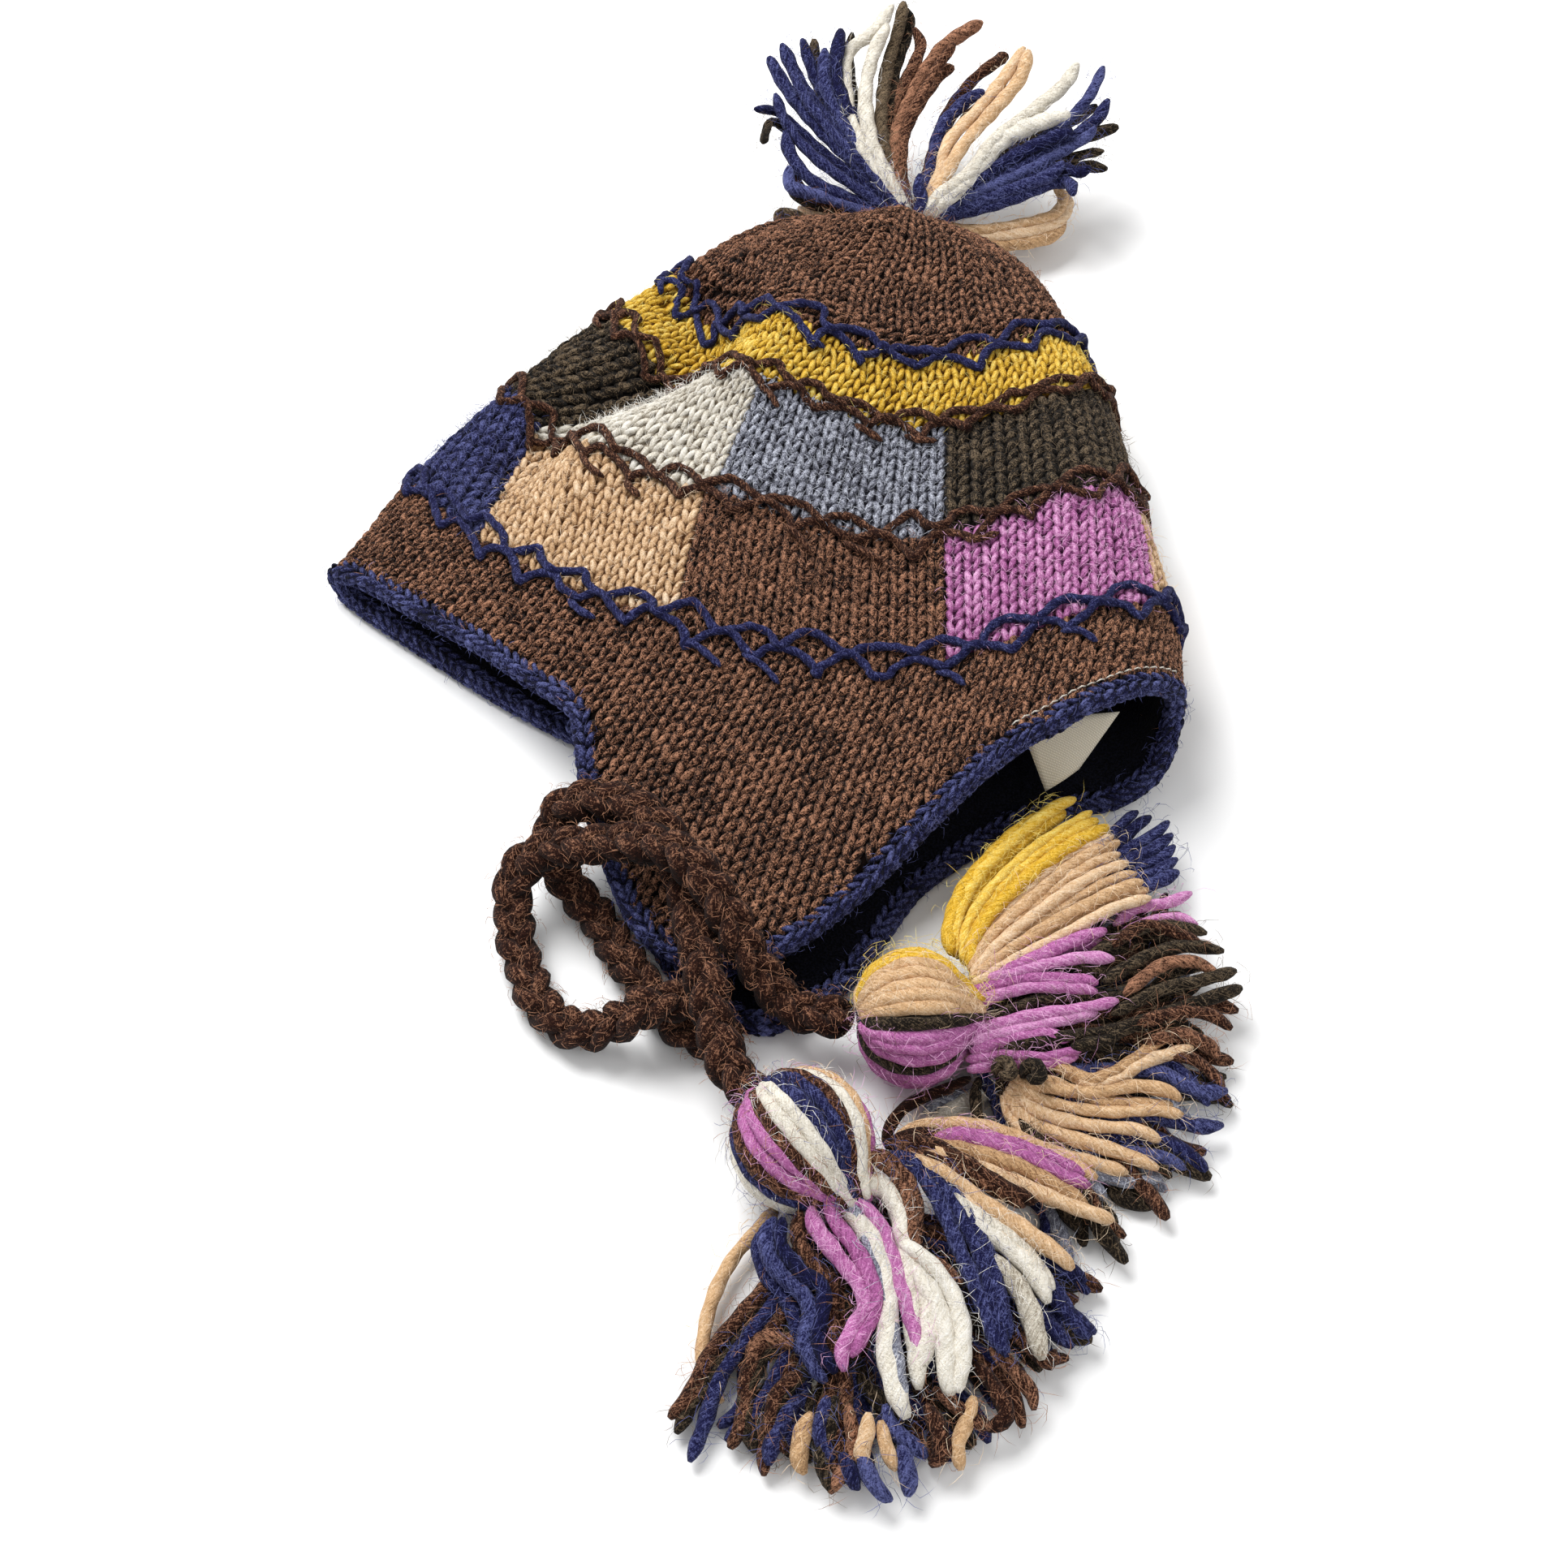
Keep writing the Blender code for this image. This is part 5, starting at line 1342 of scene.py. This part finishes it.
# %% Far tassel
FAR_BALL, FAR_ROOT = (0.0500, -0.2408), (0.0615, -0.2505)
FAR_HEAD = ["orchid", "tan", "cream", "brown", "navy", "navy", "cream", "cream", "brown", "orchid",
            "orchid", "brown", "navy", "cream", "cream", "navy", "navy", "olive", "tan", "navy",
            "brown", "cream", "navy", "orchid", "tan", "cream", "navy", "brown", "olive", "orchid"]
FAR_STRANDS = (
    ("navy", 19, 10, ((955, 1500), (944, 1530), (958, 1566), (985, 1590), (1000, 1618), (992, 1648),
                      (1000, 1680), (1018, 1704))),
    ("navy", 20, 12, ((965, 1500), (962, 1532), (985, 1565), (1014, 1588), (1012, 1622), (1008, 1655),
                      (1030, 1692))),
    ("navy", 16, 9, ((950, 1508), (936, 1535), (944, 1570), (968, 1600), (984, 1640), (985, 1672))),
    ("brown", 20, 12, ((985, 1492), (985, 1530), (1005, 1560), (1025, 1590), (1030, 1620))),
    ("orchid", 23, 15, ((1000, 1486), (1004, 1510), (1030, 1546), (1056, 1580), (1066, 1610),
                        (1052, 1636), (1038, 1664), (1040, 1690))),
    ("orchid", 24, 16, ((1018, 1480), (1030, 1506), (1055, 1540), (1072, 1575), (1078, 1608),
                        (1066, 1640), (1048, 1672))),
    ("orchid", 24, 16, ((1034, 1472), (1056, 1482), (1082, 1506), (1100, 1548), (1112, 1592),
                        (1124, 1632), (1136, 1672))),
    ("grey", 24, 14, ((1030, 1476), (1052, 1492), (1070, 1530), (1086, 1570), (1096, 1620),
                      (1104, 1680), (1112, 1735))),
    ("cream", 22, 13, ((1040, 1488), (1070, 1520), (1088, 1562), (1096, 1610), (1092, 1660),
                       (1104, 1715), (1118, 1748))),
    ("cream", 23, 15, ((1050, 1462), (1085, 1462), (1108, 1492), (1118, 1540), (1140, 1590),
                       (1144, 1640), (1130, 1690))),
    ("cream", 22, 14, ((1065, 1456), (1098, 1470), (1112, 1510), (1116, 1560), (1122, 1610),
                       (1128, 1660), (1132, 1712))),
    ("cream", 22, 14, ((1110, 1530), (1144, 1555), (1170, 1588), (1184, 1628), (1186, 1672), (1180, 1716))),
    ("cream", 20, 13, ((1124, 1560), (1150, 1600), (1164, 1645), (1166, 1690), (1172, 1720))),
    ("brown", 25, 17, ((1070, 1420), (1098, 1440), (1118, 1475), (1124, 1515), (1130, 1545),
                       (1158, 1560), (1186, 1582))),
    ("brown", 25, 17, ((1078, 1418), (1108, 1440), (1126, 1478), (1128, 1520), (1122, 1552))),
    ("navy", 24, 14, ((1085, 1424), (1124, 1432), (1158, 1460), (1186, 1502), (1208, 1550),
                      (1222, 1600), (1236, 1655), (1240, 1672))),
    ("navy", 24, 14, ((1092, 1428), (1136, 1448), (1162, 1492), (1184, 1545), (1206, 1595),
                      (1226, 1650), (1238, 1668))),
    ("navy", 23, 15, ((1090, 1422), (1140, 1434), (1176, 1468), (1200, 1510), (1222, 1560),
                      (1234, 1610), (1243, 1650))),
    ("cream", 21, 13, ((1170, 1470), (1200, 1496), (1240, 1522), (1270, 1552), (1298, 1590))),
    ("cream", 20, 13, ((1176, 1478), (1206, 1510), (1246, 1540), (1276, 1572), (1292, 1606))),
    ("cream", 18, 12, ((1212, 1545), (1242, 1570), (1264, 1604), (1276, 1642), (1284, 1676))),
    ("tan", 23, 14, ((1120, 1425), (1168, 1450), (1214, 1484), (1262, 1516), (1304, 1546), (1322, 1564))),
    ("tan", 22, 14, ((1130, 1430), (1180, 1470), (1232, 1500), (1286, 1536), (1318, 1552))),
    ("tan", 22, 11, ((1130, 1412), (1190, 1432), (1250, 1456), (1310, 1482), (1372, 1504))),
    ("tan", 20, 12, ((1136, 1406), (1200, 1420), (1262, 1440), (1310, 1466), (1340, 1486))),
    ("brown", 24, 15, ((1092, 1412), (1140, 1410), (1190, 1434), (1232, 1462), (1276, 1482))),
    ("brown", 23, 14, ((1100, 1420), (1150, 1426), (1200, 1448), (1248, 1476), (1262, 1486))),
    ("brown", 22, 16, ((1096, 1406), (1130, 1398), (1170, 1402), (1206, 1418))),
    ("orchid", 20, 12, ((1150, 1400), (1200, 1404), (1262, 1424), (1310, 1448), (1344, 1462))),
    ("orchid", 19, 11, ((1160, 1396), (1220, 1404), (1276, 1420), (1336, 1448))),
    ("tan", 19, 9, ((1104, 1402), (1140, 1388), (1200, 1388), (1262, 1406), (1312, 1432), (1352, 1452))),
    ("tan", 18, 9, ((1110, 1398), (1160, 1392), (1220, 1396), (1290, 1424), (1340, 1450))),
    ("grey", 8, 6, ((1270, 1430), (1310, 1440), (1345, 1460), (1362, 1478))),
    ("navy", 12, 7, ((1250, 1530), (1290, 1552), (1318, 1566), (1338, 1580))),
    ("navy", 12, 7, ((1260, 1560), (1300, 1590), (1320, 1625), (1344, 1648))),
    ("navy", 12, 6, ((1280, 1580), (1310, 1612), (1330, 1630), (1350, 1642))),
    ("navy", 10, 6, ((1270, 1600), (1290, 1630), (1310, 1650), (1322, 1660))),
    ("brown", 12, 8, ((1240, 1640), (1270, 1660), (1290, 1680), (1300, 1664))),
    ("brown", 12, 7, ((1220, 1660), (1250, 1690), (1270, 1715), (1274, 1738))),
    ("brown", 12, 7, ((1200, 1680), (1226, 1710), (1240, 1745), (1216, 1762))),
    ("brown", 10, 6, ((1010, 1640), (975, 1652), (940, 1650), (926, 1664), (926, 1676))),
    ("olive", 11, 6, ((1000, 1680), (972, 1710), (954, 1740), (956, 1772))),
    ("brown", 11, 6, ((990, 1690), (960, 1716), (950, 1752), (968, 1790))),
    ("navy", 9, 5, ((985, 1720), (965, 1750), (950, 1785), (947, 1806))),
    ("tan", 10, 5, ((1000, 1740), (988, 1770), (985, 1800), (992, 1816))),
    ("navy", 12, 6, ((1020, 1720), (1010, 1760), (1020, 1790), (1032, 1800))),
    ("olive", 11, 6, ((1030, 1720), (1022, 1760), (1012, 1800), (1022, 1836))),
    ("brown", 10, 5, ((1045, 1730), (1050, 1780), (1034, 1820), (1022, 1840))),
    ("tan", 13, 8, ((1070, 1740), (1068, 1765), (1062, 1790), (1066, 1812))),
    ("tan", 12, 8, ((1085, 1750), (1090, 1775), (1098, 1800), (1104, 1812))),
    ("navy", 12, 7, ((1090, 1730), (1100, 1760), (1124, 1780), (1142, 1796))),
    ("navy", 10, 5, ((1060, 1790), (1072, 1820), (1088, 1842), (1098, 1848))),
    ("navy", 10, 5, ((1110, 1780), (1116, 1805), (1120, 1826), (1118, 1844))),
    ("navy", 10, 5, ((1036, 1790), (1048, 1812), (1052, 1828), (1058, 1834))),
    ("brown", 12, 6, ((1140, 1730), (1156, 1760), (1160, 1790), (1146, 1806))),
    ("tan", 12, 6, ((1200, 1720), (1192, 1750), (1180, 1780), (1184, 1812))),
    ("brown", 12, 8, ((1150, 1710), (1180, 1735), (1206, 1752), (1222, 1760))),
    ("tan", 6, 3, ((958, 1488), (930, 1520), (905, 1548), (882, 1590), (868, 1640), (868, 1690),
                   (890, 1728))),
)
far_yarns = head(FAR_BALL, FAR_ROOT, FAR_HEAD, math.radians(-66))
far_yarns += filling(FAR_ROOT, (-116, 2), ["brown", "olive", "navy"], 34, 0.080, 0.013)
far_yarns += filling(FAR_ROOT, (-112, -4), ["brown", "navy", "olive", "cream"], 26, 0.074, 0.006)
far_yarns += traced(FAR_STRANDS)
far_tassel = write_colours("far_tassel_yarns", far_yarns, ["far_tassel"])

# %% [markdown]
# At the crown's tip a bundle of yarn is tied in and cut, and stands up like a fan. Its yarns start
# together in one knot, rise by 15 to 25 degrees, and are traced as the tassels' are.

# %% Crown tuft
TUFT_STRANDS = (
    ("navy", 22, 46, ((1118, 268), (1070, 215), (1010, 160), (970, 110), (947, 70))),
    ("navy", 22, 48, ((1118, 268), (1075, 210), (1024, 155), (985, 100), (963, 54))),
    ("navy", 22, 48, ((1120, 268), (1082, 205), (1036, 150), (1005, 95), (988, 48))),
    ("navy", 22, 50, ((1120, 268), (1090, 205), (1052, 150), (1030, 95), (1036, 36))),
    ("navy", 24, 48, ((1120, 268), (1086, 212), (1044, 160), (1018, 110), (1016, 60))),
    ("navy", 20, 42, ((1116, 270), (1062, 226), (1004, 178), (960, 140), (930, 134))),
    ("navy", 20, 44, ((1116, 270), (1056, 232), (1000, 190), (968, 150), (955, 115))),
    ("navy", 18, 36, ((1114, 272), (1050, 246), (1000, 222), (974, 190), (968, 160))),
    ("navy", 18, 30, ((1114, 273), (1050, 254), (1006, 240), (975, 230), (972, 205))),
    ("navy", 24, 46, ((1120, 268), (1078, 216), (1030, 168), (996, 126), (976, 88))),
    ("olive", 18, 48, ((1118, 268), (1070, 208), (1024, 150), (1006, 90), (1003, 48))),
    ("olive", 18, 38, ((1116, 270), (1052, 226), (990, 176), (952, 150), (940, 176))),
    ("olive", 16, 44, ((1118, 268), (1086, 200), (1058, 140), (1046, 80), (1050, 40))),
    ("brown", 16, 26, ((1112, 272), (1060, 256), (1006, 246), (982, 226), (978, 204))),
    ("olive", 16, 22, ((1110, 274), (1056, 262), (1004, 254), (980, 240), (974, 222))),
    ("cream", 24, 54, ((1122, 268), (1092, 224), (1062, 180), (1044, 120), (1046, 66), (1078, 38),
                       (1100, 6))),
    ("cream", 24, 52, ((1122, 266), (1096, 222), (1074, 176), (1066, 120), (1076, 68), (1094, 30))),
    ("olive", 22, 54, ((1122, 266), (1102, 220), (1086, 160), (1092, 90), (1106, 40), (1114, 2))),
    ("olive", 21, 52, ((1122, 266), (1104, 222), (1096, 150), (1102, 90), (1120, 30), (1112, 8))),
    ("brown", 23, 54, ((1122, 266), (1106, 225), (1104, 165), (1130, 105), (1158, 62), (1188, 40),
                       (1210, 27))),
    ("brown", 22, 52, ((1122, 266), (1110, 220), (1116, 160), (1140, 110), (1160, 76), (1176, 54))),
    ("brown", 21, 48, ((1122, 266), (1104, 225), (1096, 160), (1112, 110), (1134, 60), (1126, 34))),
    ("brown", 20, 44, ((1122, 266), (1112, 225), (1110, 180), (1130, 130), (1160, 90), (1174, 84))),
    ("navy", 26, 34, ((1126, 268), (1136, 250), (1132, 230), (1134, 214))),
    ("brown", 18, 48, ((1128, 268), (1144, 210), (1162, 150), (1196, 102), (1228, 76), (1240, 68))),
    ("navy", 18, 44, ((1128, 268), (1146, 214), (1160, 160), (1186, 128), (1212, 112))),
    ("brown", 18, 42, ((1128, 268), (1150, 215), (1180, 160), (1220, 122), (1258, 108))),
    ("tan", 24, 50, ((1130, 268), (1156, 218), (1168, 176), (1206, 134), (1240, 92), (1262, 58))),
    ("tan", 25, 50, ((1132, 268), (1160, 224), (1186, 180), (1226, 134), (1256, 98), (1268, 62))),
    ("cream", 25, 48, ((1130, 270), (1160, 240), (1196, 212), (1226, 172), (1276, 134), (1310, 106),
                       (1328, 78))),
    ("cream", 24, 44, ((1130, 270), (1168, 240), (1206, 206), (1240, 170), (1286, 150), (1318, 140))),
    ("cream", 24, 40, ((1132, 270), (1160, 252), (1190, 226), (1216, 190), (1256, 160), (1296, 142))),
    ("navy", 22, 44, ((1132, 272), (1190, 236), (1250, 196), (1304, 158), (1340, 122), (1360, 82))),
    ("navy", 22, 42, ((1132, 272), (1196, 242), (1262, 204), (1320, 172), (1352, 146), (1366, 122))),
    ("navy", 23, 40, ((1132, 272), (1190, 244), (1256, 214), (1310, 186), (1340, 168), (1350, 156))),
    ("navy", 21, 36, ((1132, 274), (1196, 252), (1258, 226), (1300, 208), (1330, 212), (1344, 206))),
    ("navy", 20, 32, ((1132, 275), (1190, 262), (1250, 244), (1296, 226), (1318, 226), (1322, 240))),
    ("navy", 24, 40, ((1132, 270), (1180, 240), (1236, 200), (1282, 176), (1322, 160))),
    ("navy", 20, 34, ((1132, 274), (1186, 258), (1240, 236), (1290, 218), (1312, 200))),
    ("olive", 18, 38, ((1132, 272), (1200, 236), (1270, 196), (1340, 168), (1378, 156))),
    ("olive", 17, 34, ((1132, 272), (1204, 244), (1276, 212), (1330, 192), (1360, 186))),
    ("olive", 16, 30, ((1132, 274), (1204, 252), (1276, 226), (1330, 206), (1364, 208))),
    ("olive", 16, 36, ((1130, 270), (1190, 226), (1250, 180), (1300, 160), (1352, 130))),
    ("tan", 17, 14, ((1140, 276), (1200, 284), (1256, 276), (1296, 266), (1310, 246), (1300, 228))),
    ("tan", 15, 12, ((1140, 278), (1204, 292), (1258, 288), (1300, 276), (1316, 254), (1306, 234))),
    ("tan", 13, 10, ((1140, 280), (1204, 300), (1256, 300), (1296, 290), (1312, 270))),
    ("tan", 15, 14, ((1104, 274), (1060, 272), (1020, 268), (996, 262), (984, 256))),
    ("olive", 14, 12, ((1100, 276), (1040, 276), (990, 268), (964, 262), (955, 272))),
    ("navy", 13, 10, ((1100, 277), (1040, 282), (985, 280), (962, 276), (952, 284))),
    ("grey", 12, 8, ((1100, 278), (1040, 286), (980, 290), (948, 290), (926, 284))),
)
KNOT_PLACES = ((1108, 268), (1120, 262), (1132, 266), (1134, 276), (1120, 280), (1108, 274))
knot = [seen(x, y, 0.021) for x, y in KNOT_PLACES]
tuft_yarns = traced(TUFT_STRANDS)
tuft_yarns += [("navy", bag) for bag in yarn(knot, 0.0022)]
tuft = write_colours("crown_tuft_yarns", tuft_yarns, ["crown_tuft"])

# %% [markdown]
# Wool is hairy. Single fibres work loose everywhere: short curly ones lie on the knitting, and
# longer ones stand off the tassels. A fibre is a thin spindle of twelve triangles on a bent line,
# so many thousands of them stay light. Each starts on a face of the piece below and has its colour,
# made lighter as a painted highlight.

# %% Loose fibres
FIBRE_CORNERS = np.array((0, 1, 2, 0, 2, 3, 0, 3, 1, 1, 4, 5, 2, 2, 5, 6, 3, 3, 6, 4, 1,
                          7, 5, 4, 7, 6, 5, 7, 4, 6))
FIBRE_SIZES = np.array((3, 3, 3, 4, 4, 4, 3, 3, 3))
FIBRE_WIDTH = 0.00014
# Painted highlight: loose fibres are made lighter than their yarn, as if they catch the light.
LEAST_PAINTED_HIGHLIGHT, MOST_PAINTED_HIGHLIGHT = 1.2, 4.6  # tones that make a fibre lighter than its yarn


def fibres(name, pieces, count, length, lift, slot):
    """Loose fibres on the faces of some pieces that look up or out."""
    chosen = []
    for piece in pieces:
        mesh = piece.data
        centre = np.empty(len(mesh.polygons) * 3, np.float32)
        normal = np.empty(len(mesh.polygons) * 3, np.float32)
        owner = np.empty(len(mesh.polygons), np.int32)
        mesh.polygons.foreach_get("center", centre)
        mesh.polygons.foreach_get("normal", normal)
        mesh.polygons.foreach_get("material_index", owner)
        centre, normal = centre.reshape(-1, 3), normal.reshape(-1, 3)
        names = [material.name.split("_")[0] for material in mesh.materials]
        open_to_air = np.flatnonzero((normal[:, 2] > 0.05) & (centre[:, 2] > 0.002))
        pick = rng.choice(open_to_air, int(count / len(pieces)))
        chosen.append((centre[pick], normal[pick], np.array(names)[owner[pick]]))
    start, out = (np.concatenate([part[k] for part in chosen]).astype(float) for k in (0, 1))
    colours = np.concatenate([part[2] for part in chosen])
    total = len(start)
    way = unit(np.cross(out, unit(rng.normal(size=(total, 3)))))
    side = np.cross(way, out)
    reach = rng.uniform(0.5, 1.0, (total, 1)) * length
    rise = rng.uniform(0.2, 1.0, (total, 1)) * lift
    curl = rng.normal(0, 0.22, (total, 1)) * reach
    line = [start - out * 0.0003, start + way * reach * 0.36 + out * rise + side * curl,
            start + way * reach * 0.70 + out * rise * 0.9 + side * curl * 0.3,
            start + way * reach + out * rise * 0.2 - side * curl * 0.6]
    points = [line[0]]
    for middle in line[1:3]:
        for turn in (0.0, 2 * math.pi / 3, 4 * math.pi / 3):
            points.append(middle + (math.cos(turn) * side + math.sin(turn) * out) * FIBRE_WIDTH / 2)
    points.append(line[3])
    points = np.stack(points, 1)
    points[..., 2] = np.maximum(points[..., 2], 0.0002)
    bags = []
    for colour in np.unique(colours):
        which = np.flatnonzero(colours == colour)
        corners = (FIBRE_CORNERS[None, :] + 8 * np.arange(len(which))[:, None]).ravel()
        # Painted highlight: each fibre lighter than its yarn by a random amount.
        tone = np.repeat(rng.uniform(LEAST_PAINTED_HIGHLIGHT, MOST_PAINTED_HIGHLIGHT, len(which)), 8)
        uv = np.tile((0.25, 0.5), (len(corners), 1))
        bags.append((str(colour), (points[which].reshape(-1, 3), corners,
                                   np.tile(FIBRE_SIZES, len(which)), uv, tone)))
    return write_colours(name, bags)


def made_of(*starts):
    """The pieces whose names start in one of these ways."""
    return [o for o in bpy.data.objects if o.type == "MESH" and o.name.startswith(starts)]


near_knit = [o for o in made_of("knit_") if o.name.endswith("near")]
fibres("knit_fuzz", near_knit, 15000, 0.0066, 0.0013, "brown_wool")
fibres("braid_fuzz", [far_braid, near_braid], 3600, 0.0060, 0.0020, "tie_wool")
fibres("edge_fuzz", [crochet_edge], 2400, 0.0050, 0.0018, "navy_wool")
fibres("near_tassel_fuzz", [near_tassel], 5600, 0.0095, 0.0034, "near_tassel_wool")
fibres("far_tassel_fuzz", [far_tassel], 6400, 0.0095, 0.0034, "far_tassel_wool")
fibres("tuft_fuzz", [tuft], 4400, 0.0085, 0.0030, "tuft_wool")

# %% [markdown]
# The floor is a plain pale sheet, wide enough to fill the view. A white sky and two soft area
# lights give the even light of the photograph: a key light from above, left and behind, and a weak
# fill from the right.

# %% Floor and light
bpy.ops.mesh.primitive_plane_add(size=6.0, location=(0.0, 0.0, -0.0004))
floor = bpy.context.object
floor.name = "floor"
paint = bpy.data.materials.new("floor")
paint.use_nodes = True
paint.node_tree.nodes["Principled BSDF"].inputs["Base Color"].default_value = (0.92, 0.92, 0.92, 1.0)
paint.node_tree.nodes["Principled BSDF"].inputs["Roughness"].default_value = 0.9
floor.data.materials.append(paint)

world = bpy.data.worlds.new("studio")
world.use_nodes = True
world.node_tree.nodes["Background"].inputs["Color"].default_value = (1.0, 1.0, 1.0, 1.0)
world.node_tree.nodes["Background"].inputs["Strength"].default_value = 0.56
bpy.context.scene.world = world


def area_light(name, place, size, power):
    """A square light that looks at the middle of the hat."""
    bpy.ops.object.light_add(type="AREA", location=place)
    lamp = bpy.context.object
    lamp.name = name
    lamp.data.size = size
    lamp.data.energy = power
    lamp.rotation_euler = (Vector((0.0, -0.1, 0.0)) - Vector(place)).to_track_quat("-Z", "Y").to_euler()


area_light("key_light", (-0.6, 0.35, 1.1), 0.80, 22.0)
area_light("fill_light", (0.9, -0.6, 0.9), 1.0, 4.0)
